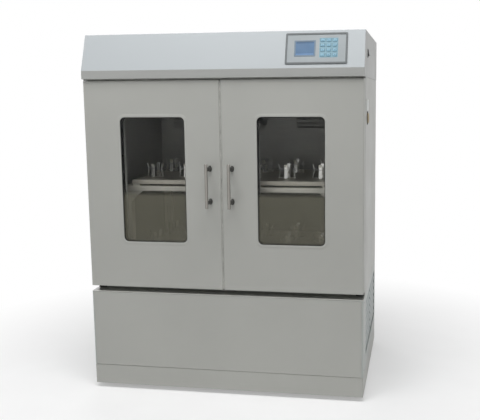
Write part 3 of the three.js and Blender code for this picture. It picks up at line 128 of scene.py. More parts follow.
class StageSettings(bpy.types.PropertyGroup):
    key_power: power_property("Key", "Power of the overhead soft box", 152)
    fill_power: power_property("Fill", "Power of the front fill", 11)
    side_power: power_property("Side", "Power of each side fill", 10)
    rear_power: power_property("Rear", "Power of the rear fill", 60)
    ambient: FloatProperty(name="Ambient", description="Strength of the even light all round", default=0.115,
                           min=0, subtype="FACTOR")
    focal_length: FloatProperty(name="Focal length", description="Camera lens", default=54.3, min=1,
                                subtype="DISTANCE_CAMERA")
    floor_radius: length_property("Floor radius", "Radius of the round floor", 14.0)


SETTINGS = {
    "incubator_paint": PaintSettings,
    "incubator_metal": MetalSettings,
    "incubator_panel": PanelSettings,
    "incubator_window": WindowSettings,
    "incubator_stage": StageSettings,
}


def chosen(setting):
    """What the scene's settings hold under a short name such as paint.body."""
    group, name = setting.split(".")
    return getattr(getattr(bpy.context.scene, f"incubator_{group}"), name)


# Places that follow from the frame

def ranges(node):
    """A node's lowest and highest X, Y and Z, as three pairs."""
    return tuple(zip(*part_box(node)))


def middle(u):
    return sum(u) / 2


def span(centre, width):
    return (centre - width / 2, centre + width / 2)


def grown(u, amount):
    return (u[0] - amount, u[1] + amount)


_, HEAD_Y, HEAD_Z = ranges("control_head")
LIP_HEIGHT = 31.5 * MM
SLOPE_FOOT = Vector((0, HEAD_Y[0], HEAD_Z[0] + LIP_HEIGHT))
SLOPE_SETBACK = 49.6 * MM
SLOPE_ANGLE = math.atan2(HEAD_Z[1] - SLOPE_FOOT.z, SLOPE_SETBACK)
SLOPE_UP = Vector((0, math.cos(SLOPE_ANGLE), math.sin(SLOPE_ANGLE)))
SLOPE_OUT = Vector((0, -math.sin(SLOPE_ANGLE), math.cos(SLOPE_ANGLE)))

SHELL_X, SHELL_Y, SHELL_Z = ranges("right_door_shell")
BROAD_FOLD = 2.2 * MM
RIM_PROUD = 3 * MM
RIM_SHOWN = 1.2 * MM
SHEET = 2 * MM
DOOR_FRONT = SHELL_Y[0] + RIM_PROUD

GLASS_X, GLASS_Y, GLASS_Z = ranges("right_door_glass")
GLASS_OVERLAP = 6 * MM
WINDOW_X = grown(GLASS_X, -GLASS_OVERLAP)
WINDOW_Z = grown(GLASS_Z, -GLASS_OVERLAP)
WINDOW_RADIUS = 19 * MM

VENT_FACE = ranges("base_right_panel")[0][1]
TRAY_RISE = 16 * MM


def on_slope(across, up, out):
    return SLOPE_FOOT + Vector((across, 0, 0)) + SLOPE_UP * up + SLOPE_OUT * out


def slope_box(node):
    """Across, up and out ranges of a node that lies square on the sloped face."""
    offsets = [v.co - SLOPE_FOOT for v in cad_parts[node].data.vertices]
    places = [(offset.x, offset.dot(SLOPE_UP), offset.dot(SLOPE_OUT)) for offset in offsets]
    return [(min(values), max(values)) for values in zip(*places)]


def tray_top(tray):
    """The level of a tray's sheet, on which its clamps stand."""
    return ranges(f"{tray}_tray")[2][0] + TRAY_RISE


def key_nodes():
    return sorted(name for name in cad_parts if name.startswith("key_"))


# Meshes

def lengths(*rows):
    """Rows of millimetres as rows of lengths."""
    return [tuple(value * MM for value in row) for row in rows]


def raised(level, *rows):
    """Rows of an inset, a rise over a level and a corner's radius, in millimetres, for a slope loft."""
    return [(inset * MM, level + rise * MM, radius * MM) for inset, rise, radius in rows]


def quarter_turn(steps):
    return [math.pi / 2 * i / steps for i in range(steps + 1)]


def circle(sides):
    """Points of a circle with a radius of one."""
    angles = [2 * math.pi * i / sides for i in range(sides)]
    return [(math.cos(a), math.sin(a)) for a in angles]


def rounded_loop(u, v, radius, steps):
    """Points round a rectangle with rounded corners, anticlockwise, four times steps + 1 of them."""
    radius = max(radius, 0.05 * MM)
    centres = [
        (u[1] - radius, v[0] + radius, -math.pi / 2),
        (u[1] - radius, v[1] - radius, 0),
        (u[0] + radius, v[1] - radius, math.pi / 2),
        (u[0] + radius, v[0] + radius, math.pi),
    ]
    return [
        (cu + radius * math.cos(start + turn), cv + radius * math.sin(start + turn))
        for cu, cv, start in centres for turn in quarter_turn(steps)
    ]


def upright_ring(x, z, inset, y, radius, share=1.0):
    """A rounded rectangle at one depth, set in from its sides, and by a share of that from its ends."""
    loop = rounded_loop(grown(x, -inset), grown(z, -inset * share), radius, chosen("window.corner_steps"))
    return [(u, y, v) for u, v in loop]


def window_ring(offset, y, concentric=True):
    """A ring outside the window's clear opening, with concentric corners or with the opening's radius."""
    radius = WINDOW_RADIUS + offset if concentric else WINDOW_RADIUS
    return upright_ring(WINDOW_X, WINDOW_Z, -offset, y, radius)


def loft(rings, closed=False):
    """Quads between rings of points; the profile either closes on itself or gets a cap at each end."""
    bm = bmesh.new()
    grid = [[bm.verts.new(point) for point in ring] for ring in rings]
    count = len(rings[0])
    for near, far in zip(grid, grid[1:] + (grid[:1] if closed else [])):
        for i in range(count):
            j = (i + 1) % count
            bm.faces.new((near[i], near[j], far[j], far[i]))
    if not closed:
        bm.faces.new(list(reversed(grid[0])))
        bm.faces.new(grid[-1])
    return bm


def slope_loft(across, up, rings, steps, closed=False):
    """A loft through rounded rectangles on the sloped face, each set in from its edges and raised."""
    loops = []
    for inset, out, radius in rings:
        loop = rounded_loop(grown(across, -inset), grown(up, -inset), radius, steps)
        loops.append([on_slope(u, v, out) for u, v in loop])
    return loft(loops, closed)


def turned(profile, place, sides=40, closed=False):
    """A profile of radius and height pairs turned about an axis; place(x, y, z) puts its points."""
    rings = [[place(radius * c, radius * s, height) for c, s in circle(sides)] for radius, height in profile]
    return loft(rings, closed)


def merged(parts):
    """Several meshes as one."""
    whole = bmesh.new()
    for part in parts:
        mesh = bpy.data.meshes.new("part")
        part.to_mesh(mesh)
        part.free()
        whole.from_mesh(mesh)
        bpy.data.meshes.remove(mesh)
    return whole


def rounded_off(bm, edges, width, segments, **more):
    bmesh.ops.bevel(bm, geom=edges, offset=width, segments=segments, profile=0.5, affect="EDGES", **more)


def block(x, y, z, bevel, segments=2):
    bm = bmesh.new()
    bmesh.ops.create_cube(bm, size=1)
    for v in bm.verts:
        v.co = Vector([low + (at + 0.5) * (high - low) for at, (low, high) in zip(v.co, (x, y, z))])
    rounded_off(bm, bm.edges[:], bevel, segments)
    return bm


def facing(point, normal, spin=0.0):
    """Returns place(x, y, z) for small pieces that stand on a face."""
    lean = Vector((0, 0, 1)).rotation_difference(Vector(normal))
    turn = lean @ Matrix.Rotation(spin, 3, "Z").to_quaternion()
    origin = Vector(point)
    return lambda x, y, z: origin + turn @ Vector((x, y, z))


# Pieces

def add_object(name, bm, coat, body="cabinet", stands_for=(), angle=35, side=1):
    """Turns a mesh into a piece that rides on a body, mirrored if its side is the left one."""
    if side < 0:
        bmesh.ops.scale(bm, vec=(-1, 1, 1), verts=bm.verts)
    bmesh.ops.recalc_face_normals(bm, faces=bm.faces)
    mesh = bpy.data.meshes.new(name)
    bm.to_mesh(mesh)
    bm.free()
    for polygon in mesh.polygons:
        polygon.use_smooth = True
    mesh.set_sharp_from_angle(angle=math.radians(angle))
    piece = bpy.data.objects.new(name, mesh)
    bpy.context.scene.collection.objects.link(piece)
    mesh.materials.append(finish(coat))
    weighted = piece.modifiers.new("Even normals", "WEIGHTED_NORMAL")
    weighted.keep_sharp = True
    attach(piece, body)
    if stands_for:
        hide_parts(*stands_for)


def add_to_doors(*rows):
    """The same pieces on both doors: as made on the right one, mirrored on the left one."""
    for side, sign in SIDES.items():
        for name, make, coat, slot, node, angle in rows:
            stands_for = [f"{side}_{node}"] if node else []
            add_object(f"{side}_{name}", make(), coat, f"{side}_door", stands_for, angle, sign)


def refined(node, coat, bevel, body="cabinet", sharp=30, segments=2, angle=35, fold=None):
    """A piece with a node's own shape, its folded or machined edges rounded, and one fold broadly."""
    bm = bmesh.new()
    bm.from_mesh(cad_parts[node].data)
    bmesh.ops.remove_doubles(bm, verts=bm.verts, dist=0.01 * MM)
    bmesh.ops.dissolve_limit(bm, angle_limit=math.radians(0.5), verts=bm.verts, edges=bm.edges)
    if fold:
        rounded_off(bm, [e for e in bm.edges if all(fold(v.co) for v in e.verts)], BROAD_FOLD, 4)
    edges = [e for e in bm.edges if len(e.link_faces) == 2 and e.calc_face_angle(0) > math.radians(sharp)]
    if bevel and edges:
        rounded_off(bm, edges, bevel, segments, clamp_overlap=True)
    add_object(f"{node}_finish", bm, coat, body, [node], angle)


def machined(node, coat, bevel, body="cabinet"):
    """A piece that keeps its shallow edges, such as those of a turned face."""
    refined(node, coat, bevel, body, sharp=50, angle=50)


# Materials

def linear(colour):
    """A display colour, or the one that a setting holds, as the shader's linear one."""
    shown = chosen(colour) if isinstance(colour, str) else colour
    return (*(c / 12.92 if c <= 0.04045 else ((c + 0.055) / 1.055) ** 2.4 for c in shown), 1)


class Nodes:
    """Short words for the nodes of a material or of the world."""

    def __init__(self, owner):
        owner.use_nodes = True
        self.tree = owner.node_tree
        self.tree.nodes.clear()

    def give(self, target, value):
        """Links an input to another node's output, or gives it a plain value."""
        if isinstance(value, bpy.types.NodeSocket):
            self.tree.links.new(value, target)
        else:
            target.default_value = value

    def node(self, kind, inputs, **values):
        made = self.tree.nodes.new(kind)
        for key, value in values.items():
            setattr(made, key, value)
        for key, value in inputs.items():
            self.give(made.inputs[key], value)
        return made

    def maths(self, operation, *values):
        return self.node("ShaderNodeMath", dict(enumerate(values)), operation=operation).outputs["Value"]

    def remap(self, value, low, high, source=(0.3, 0.7)):
        inputs = {"Value": value, "From Min": source[0], "From Max": source[1], "To Min": low, "To Max": high}
        return self.node("ShaderNodeMapRange", inputs).outputs["Result"]

    def mixed(self, factor, first, second):
        return self.node("ShaderNodeMixShader", {"Fac": factor, 1: first, 2: second}).outputs["Shader"]

    def seen(self):
        """One for rays from the camera, in reflections and through glass."""
        path = self.node("ShaderNodeLightPath", {}).outputs
        either = self.maths("MAXIMUM", path["Is Camera Ray"], path["Is Glossy Ray"])
        return self.maths("MAXIMUM", either, path["Is Transmission Ray"])


class Coat(Nodes):
    """A material with one shader, and the words that the finishes share."""

    def __init__(self, name):
        self.material = bpy.data.materials.new(name)
        super().__init__(self.material)
        self.shader = self.node("ShaderNodeBsdfPrincipled", {})
        self.output = self.node("ShaderNodeOutputMaterial", {"Surface": self.shader.outputs["BSDF"]})
        place = self.node("ShaderNodeTexCoord", {}).outputs
        self.place, self.normal = place["Object"], place["Normal"]

    def shade(self, **values):
        """Gives the shader's inputs; an underscore stands for a space in their names."""
        for name, value in values.items():
            self.give(self.shader.inputs[name.replace("_", " ")], value)
        return self

    def colour(self):
        """What feeds the shader's colour so far."""
        return self.shader.inputs["Base Color"].links[0].from_socket

    def axis(self, name, vector=None):
        return self.node("ShaderNodeSeparateXYZ", {"Vector": vector or self.place}).outputs[name]

    def noise(self, scale, detail=2.0, roughness=0.5, stretch=None):
        vector = self.place
        if stretch:
            mapping = self.node("ShaderNodeMapping", {"Vector": self.place, "Scale": stretch})
            vector = mapping.outputs["Vector"]
        inputs = {"Vector": vector, "Scale": scale, "Detail": detail, "Roughness": roughness}
        return self.node("ShaderNodeTexNoise", inputs).outputs["Fac"]

    def blend(self, factor, first, second):
        inputs = {"Factor": factor, "A": first, "B": second}
        return self.node("ShaderNodeMix", inputs, data_type="RGBA").outputs["Result"]

    def toned(self, colour, tones, pattern):
        """A colour that a pattern shades between two tones."""
        shades = [(*(min(1.0, c * tone) for c in linear(colour)[:3]), 1) for tone in tones]
        return self.blend(self.remap(pattern, 0, 1), *shades)

    def bump(self, height, strength, distance, below=None):
        inputs = {"Height": height, "Strength": strength, "Distance": distance}
        if below:
            inputs["Normal"] = below
        return self.node("ShaderNodeBump", inputs).outputs["Normal"]


def painted(name, colour):
    """Powder coat: fine orange peel, faint cloudiness, and a slightly dusty gloss."""
    coat = Coat(name)
    peel = coat.bump(coat.noise(1 / chosen("paint.peel"), 2.0, 0.45), 0.14, 0.15 * MM)
    return coat.shade(
        Base_Color=coat.toned(colour, (0.965, 1.03), coat.noise(2.3, 3.0)),
        Roughness=coat.remap(coat.noise(6.0, 4.0), 0.36, 0.46),
        Normal=coat.bump(coat.noise(3.0, 1.0), 0.10, 1.2 * MM, peel),
        Specular_IOR_Level=0.2, Coat_Weight=0.04, Coat_Roughness=0.22,
    )


def painted_with_sky_reflection(name, colour, upper):
    """The same coat, with a lighter, cooler tone on upward faces: a painted sky reflection."""
    coat = painted(name, colour)
    # Faces that look up take the lighter, cooler tone: painted sky reflection
    sky_reflection_share = coat.remap(coat.axis("Z", coat.normal), 0, 1, (0.1, 0.25))
    return coat.shade(Base_Color=coat.blend(sky_reflection_share, coat.colour(), linear(upper)))


def painted_with_recess_shade(name, colour, recess, depth, front):
    """The same coat, with painted shade where the sheet is set back from the side, but not at the front
    corner.
    """
    coat = painted(name, colour)
    proud = coat.remap(coat.maths("ABSOLUTE", coat.axis("X")), 0, 1, depth)
    corner = coat.remap(coat.axis("Y"), 1, 0, front)
    # Where the sheet is neither proud nor near the front corner, it takes the painted shade
    plain = coat.maths("MAXIMUM", proud, corner)
    return coat.shade(Base_Color=coat.blend(plain, linear(recess), coat.colour()))


def brushed(name, colour, direction=(4, 4, 320), roughness=(0.26, 0.42), metallic=1.0):
    """Brushed sheet: fine lines along one direction, with patches of wear."""
    sheet = Coat(name)
    grain = sheet.noise(1.0, 3.0, 0.6, direction)
    return sheet.shade(
        Base_Color=sheet.toned(colour, (0.90, 1.06), grain),
        Roughness=sheet.remap(sheet.noise(9.0, 3.0), *roughness),
        Normal=sheet.bump(grain, 0.10, 0.08 * MM),
        Metallic=metallic, Anisotropic=0.35,
    )


def brushed_below(name, colour, upper, levels):
    """Brushed sheet up to a level, and brighter spring steel above it."""
    sheet = brushed(name, colour)
    height = sheet.axis("Z")
    return sheet.shade(
        Base_Color=sheet.blend(sheet.remap(height, 0, 1, levels), sheet.colour(), linear(upper)),
        Metallic=sheet.remap(height, 0.5, 1, levels),
        Roughness=sheet.remap(height, 0.45, 0.24, levels),
    )


def moulded(name, colour, roughness=(0.42, 0.55), grain=0.0009):
    """Moulded plastic or enamel with a fine spark-eroded grain."""
    skin = Coat(name)
    return skin.shade(
        Base_Color=skin.toned(colour, (0.94, 1.05), skin.noise(14.0, 3.0)),
        Roughness=skin.remap(skin.noise(30.0, 2.0), *roughness),
        Normal=skin.bump(skin.noise(1 / grain, 2.0), 0.12, 0.06 * MM),
    )


def rubbery(name, colour):
    """Matt rubber with a dusty bloom."""
    skin = Coat(name)
    return skin.shade(
        Base_Color=skin.toned(colour, (0.8, 1.35), skin.noise(22.0, 5.0, 0.65)),
        Roughness=skin.remap(skin.noise(60.0, 3.0), 0.62, 0.85),
        Normal=skin.bump(skin.noise(700.0, 2.0), 0.2, 0.1 * MM),
        Specular_IOR_Level=0.3,
    )


def cast(name, colour):
    """Cast iron: pitted skin with an oily sheen."""
    skin = Coat(name)
    pits = skin.bump(skin.noise(420.0, 3.0, 0.6), 0.35, 0.3 * MM)
    return skin.shade(
        Base_Color=skin.toned(colour, (0.7, 1.25), skin.noise(17.0, 5.0, 0.6)),
        Roughness=skin.remap(skin.noise(40.0, 3.0), 0.42, 0.7),
        Normal=skin.bump(skin.noise(60.0, 2.0), 0.2, 0.5 * MM, pits),
        Metallic=0.6,
    )


def quilted(name, colour):
    """Mineral wool batt: matted fibres with a loose nap."""
    batt = Coat(name)
    fibres = batt.noise(1.0, 5.0, 0.7, (260, 90, 900))
    return batt.shade(
        Base_Color=batt.toned(colour, (0.72, 1.1), fibres),
        Roughness=batt.remap(fibres, 0.85, 1.0),
        Normal=batt.bump(fibres, 0.7, 1.2 * MM),
        Sheen_Weight=0.2,
    )


def glazed_with_painted_reflection(name, colour, film, levels):
    """Window glass: a dark tint, a painted reflection that thickens between two levels, and wipe marks."""
    glass = Coat(name)
    wipes = glass.noise(1.0, 4.0, 0.6, (5, 1, 2.2))
    # Below the levels the pane takes the painted reflection's brownish tone and more opacity
    low = glass.remap(glass.axis("Z"), 1, 0, levels)
    return glass.shade(
        Base_Color=glass.blend(low, linear(colour), linear(film)),
        Roughness=glass.remap(wipes, 0.02, 0.09),
        Alpha=glass.maths("MULTIPLY_ADD", low, 0.225, glass.remap(wipes, 0.04, 0.08)),
        IOR=1.52, Specular_IOR_Level=0.6,
    )


def liquid_crystal(name, colour):
    """A backlit display: slightly uneven light over a fine dot grid."""
    pane = Coat(name)
    tint = pane.toned(colour, (0.82, 1.12), pane.noise(16.0, 1.0))
    dots = pane.noise(1.0, 0.0, 0.5, (1400, 1400, 1400))
    return pane.shade(
        Base_Color=tint, Emission_Color=tint, Emission_Strength=0.18,
        Roughness=pane.remap(pane.noise(25.0), 0.12, 0.2),
        Normal=pane.bump(dots, 0.05, 0.02 * MM),
    )


def tray_steel(tray):
    """A tray's sheet, with the clamps' brighter steel from just above it."""
    top = tray_top(tray)
    return brushed_below, "metal.tray", dict(upper="metal.clamp", levels=(top + 1 * MM, top + 2 * MM))


# Each finish: how it is made, its colour or the setting that holds it, and its details

FINISHES = {
    "body_powder_coat": (painted, "paint.body"),
    # Head: painted sky reflection on its upward faces, and a slightly shaded copy of the body coat on its lip
    # and sides
    "head_powder_coat": (painted_with_sky_reflection, "paint.lip", dict(upper="paint.head")),
    # Side panels: painted shade on their set-back part
    "vents_powder_coat": (painted_with_recess_shade, "paint.vents", dict(
        recess="paint.recess",
        depth=(VENT_FACE - 5 * MM, VENT_FACE - 1.5 * MM),
        front=(DOOR_FRONT + 12 * MM, DOOR_FRONT + 14 * MM),
    )),
    "brushed_stainless": (brushed, "metal.stainless", dict(roughness=(0.36, 0.52), metallic=0.6)),
    "platform_steel": (brushed, "metal.platform", dict(roughness=(0.4, 0.52), metallic=0.6)),
    "lower_tray_steel": tray_steel("lower"),
    "upper_tray_steel": tray_steel("upper"),
    "spring_steel": (brushed, (0.84, 0.85, 0.86), dict(direction=(90, 90, 90), roughness=(0.15, 0.28))),
    "handle_steel": (brushed, "metal.handle", dict(direction=(300, 300, 8))),
    "zinc_plate": (brushed, "metal.zinc", dict(direction=(60, 60, 60), roughness=(0.3, 0.5))),
    "fan_aluminium": (brushed, (0.68, 0.69, 0.70), dict(direction=(80, 80, 80))),
    "turned_aluminium": (brushed, (0.68, 0.69, 0.70), dict(direction=(8, 8, 700))),
    "condenser_fins": (brushed, (0.62, 0.63, 0.63), dict(direction=(400, 6, 6))),
    "spacer_bar": (brushed, (0.30, 0.30, 0.30)),
    "handle_foot": (cast, "metal.handle_foot"),
    "blackened_steel": (cast, "metal.hinge"),
    "cast_iron": (cast, "metal.casting"),
    "black_rubber": (rubbery, "window.rubber"),
    "door_gasket": (rubbery, "window.gasket"),
    "head_strip": (rubbery, (0.56, 0.56, 0.54)),
    "meeting_strip": (rubbery, (0.72, 0.72, 0.70)),
    "port_plug": (rubbery, (0.66, 0.60, 0.49)),
    "liner_plastic": (moulded, (0.74, 0.74, 0.72), dict(grain=0.0015)),
    "panel_film": (moulded, "panel.plate", dict(grain=0.0007)),
    "panel_border": (moulded, "panel.border", dict(grain=0.0008)),
    "key_field": (moulded, "panel.key_field", dict(grain=0.0007)),
    "key_film": (moulded, "panel.key", dict(roughness=(0.3, 0.42), grain=0.0006)),
    "key_mark": (moulded, (0.16, 0.27, 0.36)),
    "display_bezel": (moulded, "panel.bezel"),
    "display_glass": (liquid_crystal, "panel.display"),
    "display_lit_band": (liquid_crystal, "panel.band"),
    "display_dark_band": (liquid_crystal, "panel.shade"),
    "bare_plate": (moulded, (0.90, 0.91, 0.90)),
    "switch_plastic": (moulded, (0.10, 0.10, 0.105), dict(roughness=(0.25, 0.38))),
    "motor_enamel": (moulded, (0.25, 0.31, 0.36), dict(roughness=(0.35, 0.5))),
    "compressor_enamel": (moulded, (0.06, 0.06, 0.065), dict(roughness=(0.25, 0.4))),
    "fan_plastic": (moulded, (0.11, 0.11, 0.115)),
    "mineral_wool": (quilted, (0.82, 0.78, 0.60)),
    # Window panes: a painted reflection on their lower part
    "window_glass": (glazed_with_painted_reflection, "window.tint", dict(
        film="window.film", levels=(middle(WINDOW_Z) - 65 * MM, middle(WINDOW_Z) - 40 * MM),
    )),
}
MADE = {}


def finish(name):
    """One material of each name, made when it is first asked for."""
    if name not in MADE:
        make, colour, *details = FINISHES[name]
        MADE[name] = make(name, colour, **dict(*details)).material
    return MADE[name]


# Screws

def screw_head(place):
    """A pan head with a cross recess; place(x, y, z) puts its points, with z out of the sheet."""
    radius = chosen("metal.screw")
    height = radius * 0.55
    shares = [(1, 0), (1, 0.35), (0.9, 0.72), (0.62, 0.95), (0.3, 1), (0.02, 1.02)]
    head = turned([(radius * r, height * h) for r, h in shares], place, 20)
    reach, half, top = radius * 0.5, radius * 0.09, height * 1.05
    slots = []
    for u, v in ((reach, half), (half, reach)):
        loop = [(-u, -v), (u, -v), (u, v), (-u, v)]
        slots.append(loft([[place(x, y, level) for x, y in loop] for level in (top - radius * 0.02, top)]))
    return merged([head, *slots])


def add_screws(name, places, body="cabinet"):
    add_object(name, merged([screw_head(place) for place in places]), "zinc_plate", body, angle=40)


# Operators, one for each group of pieces

class Step:
    """What every operator shares."""

    bl_options = {"REGISTER", "UNDO"}

    def execute(self, context):
        self.build()
        return {"FINISHED"}


class INCUBATOR_OT_cabinet(Step, bpy.types.Operator):
    """Rounds and paints the base, the casing and the control head"""

    bl_idname = "incubator.cabinet"
    bl_label = "Painted cabinet"

    strip_inset = 1 * MM
    strip_front = DOOR_FRONT + 4 * MM
    strip_back = DOOR_FRONT + 26 * MM
    strip_clearance = 1.2 * MM

    def build(self):
        edge = chosen("paint.edge")
        for node in ("cabinet_casing", "rear_cover"):
            refined(node, "body_powder_coat", edge)
        for node in ("base_frame", "base_front_panel"):
            refined(node, "body_powder_coat", edge, fold=self.top_front(node))
        for side in SIDES:
            refined(f"base_{side}_panel", "vents_powder_coat", edge * 0.6, sharp=15)
        refined("control_head", "head_powder_coat", edge * 1.6, sharp=12, segments=3)
        add_object("head_strip", self.head_strip(), "head_strip")

    def head_strip(self):
        """A soft strip that closes most of the gap between the head and the doors."""
        x = grown(ranges("cabinet_casing")[0], -self.strip_inset)
        z = (SHELL_Z[1] + self.strip_clearance, HEAD_Z[0])
        return block(x, (self.strip_front, self.strip_back), z, 0.5 * MM)

    def top_front(self, node):
        """Tells whether a corner lies on a node's top front edge."""
        _, y, z = ranges(node)
        return lambda point: max(abs(point.y - y[0]), abs(point.z - z[1])) < 0.1 * MM


class INCUBATOR_OT_doors(Step, bpy.types.Operator):
    """Builds the door shells with their raised window rims, and the inner panels"""

    bl_idname = "incubator.doors"
    bl_label = "Doors"

    side_radius = 5 * MM
    end_radius = 2 * MM
    rim = [
        (0, -0.3), (0.35, -0.7), (1.1, -0.92), (2.2, -1), (5.5, -1), (8, -0.85), (11, -0.3), (13, 0),
    ]
    strip_front = DOOR_FRONT + 2.8 * MM
    strip_back = DOOR_FRONT + 24 * MM

    def build(self):
        add_to_doors(
            ("door_skin", self.shell, "body_powder_coat", "body_paint", "door_shell", 28),
            ("door_inner_panel", self.liner, "liner_plastic", "liner_plastic", "door_liner", 28),
            ("meeting_strip", self.meeting_strip, "meeting_strip", "liner_plastic", None, 35),
        )

    def shell(self):
        """The folded sheet; the rim has offsets in millimetres and shares of the relief that shows."""
        front, back, radius = DOOR_FRONT, SHELL_Y[1], self.side_radius
        share = self.end_radius / radius

        def outer(inset, y, share=1.0):
            return upright_ring(SHELL_X, SHELL_Z, inset, y, 0.4 * MM, share)

        fold = [(radius * (1 - math.sin(a)), radius * (1 - math.cos(a))) for a in quarter_turn(5)]
        return loft([
            window_ring(0, front + SHEET),
            *[window_ring(offset * MM, front + rise * RIM_SHOWN) for offset, rise in self.rim],
            *[outer(inset, front + depth, share) for inset, depth in fold],
            outer(0, back), outer(SHEET, back), outer(SHEET, front + radius), outer(radius, front + SHEET),
        ], closed=True)

    def meeting_strip(self):
        """A soft edge that closes most of the gap between the doors."""
        x = (0.5 * MM, SHELL_X[0] + 0.1 * MM)
        return block(x, (self.strip_front, self.strip_back), grown(SHELL_Z, -4 * MM), 0.5 * MM)

    def liner(self):
        x, (back, face), z = ranges("right_door_liner")

        def window(offset, drop):
            return window_ring(offset * MM, face - drop * MM)

        def outer(inset, drop):
            return upright_ring(x, z, inset * MM, face - drop * MM, 6 * MM)

        return loft([
            window_ring(0, back), window(0, 1.5), window(0.5, 0.4), window(1.6, 0), outer(0.6, 0),
            outer(0, 0.6), outer(0, 2), window(2, 2), window_ring(2 * MM, back),
        ], closed=True)


class INCUBATOR_OT_windows(Step, bpy.types.Operator):
    """Builds the double glazing, its spacer and seals, and the door gaskets"""

    bl_idname = "incubator.windows"
    bl_label = "Windows and seals"

    pane = 5 * MM
    slab_edge = lengths((5.4, 0), (6, 0.6))
    spacer_edge = lengths((4.5, 0), (-2, 0))
    seal_edge = lengths((9, 0), (-2, 0), (-2.5, 0.5), (-2.5, 1.5), (-2, 2), (6.3, 2))
    gasket_profile = [
        (0, 0), (0, 0.2), (2.5, 0.3), (3.2, 0.45), (2.4, 0.62), (2.4, 0.8), (3.4, 0.94), (5, 1), (7, 1),
        (8.6, 0.94), (9.6, 0.8), (9.6, 0.62), (8.8, 0.45), (9.5, 0.3), (12, 0.2), (12, 0),
    ]

    def build(self):
        front, back = GLASS_Y
        inside = (front + self.pane, back - self.pane)
        seal = ranges("right_window_seal")[1]
        add_to_doors(
            ("outer_pane", lambda: self.swept(self.slab_edge, front, inside[0], False),
             "window_glass", "window_glass", "door_glass", 35),
            ("inner_pane", lambda: self.swept(self.slab_edge, inside[1], back, False),
             "window_glass", "window_glass", None, 35),
            ("spacer_bar", lambda: self.swept(self.spacer_edge, *grown(inside, -0.1 * MM)),
             "spacer_bar", "window_glass", None, 35),
            ("seal", lambda: self.swept(self.seal_edge, *seal),
             "black_rubber", "black_rubber", "window_seal", 35),
            ("gasket", self.gasket, "door_gasket", "grey_rubber", "door_gasket", 50),
        )

    def swept(self, edge, front, back, closed=True):
        """An edge's offsets and depths from the front, and their mirror image, swept round the window."""
        profile = [(offset, front + depth) for offset, depth in edge]
        profile += [(offset, back - depth) for offset, depth in reversed(edge)]
        return loft([window_ring(offset, y, concentric=False) for offset, y in profile], closed)

    def gasket(self):
        """A bellows; its profile has insets in millimetres and shares of its depth."""
        x, (back, face), z = ranges("right_door_gasket")
        return loft([
            upright_ring(x, z, inset * MM, back + rise * (face - back), 0.3 * MM)
            for inset, rise in self.gasket_profile
        ], closed=True)


class INCUBATOR_OT_handles(Step, bpy.types.Operator):
    """Builds the pull bars with their dark oval feet"""

    bl_idname = "incubator.handles"
    bl_label = "Door handles"

    radius = 6 * MM
    dome = 2.2 * MM
    pitch = 125.5 * MM
    foot_half_width = 7.5 * MM
    foot_half_height = 12 * MM

    def build(self):
        x, y, z = ranges("right_door_handle")
        axis = (middle(x), y[0] + self.radius)
        add_to_doors(
            ("handle_bar", lambda: self.bar(*axis, *z), "handle_steel", "handle_steel", "door_handle", 40),
            ("handle_feet", lambda: self.feet(*axis, y[1], z), "handle_foot", "handle_steel", None, 50),
        )

    def bar(self, x, y, foot, top):
        """A round bar with domed ends."""
        dome = self.dome
        low = [
            (self.radius - dome + dome * math.sin(a), foot + dome - dome * math.cos(a))
            for a in quarter_turn(4)
        ]
        high = [(r, top + foot - h) for r, h in reversed(low)]
        return turned([*low, *high], lambda u, v, w: (x + u, y + v, w), 32)

    def feet(self, x, y, door, z):
        """Two oval feet that narrow from the door to a neck round the bar."""
        base, neck = door - 0.1 * MM, y + self.radius * 0.35
        stations = [
            (base, 1.0), (base - 2.6 * MM, 1.0), (base - 4.6 * MM, 0.93), (base - 8.5 * MM, 0.78),
            (base - 13 * MM, 0.66), (neck + 6 * MM, 0.60), (neck, 0.62),
        ]
        feet = []
        for level in span(middle(z), self.pitch):
            rings = []
            for depth, width in stations:
                across = self.foot_half_width * width
                up = self.foot_half_height * (0.35 + 0.65 * width) * width ** 0.4
                rings.append([(x + across * c, depth, level + up * s) for c, s in circle(28)])
            feet.append(loft(rings))
        return merged(feet)


class INCUBATOR_OT_hinges(Step, bpy.types.Operator):
    """Finishes the door hinges"""

    bl_idname = "incubator.hinges"
    bl_label = "Hinges"

    def build(self):
        for side in SIDES:
            for level in ("upper", "lower"):
                machined(f"{side}_{level}_hinge", "blackened_steel", 0.5 * MM)


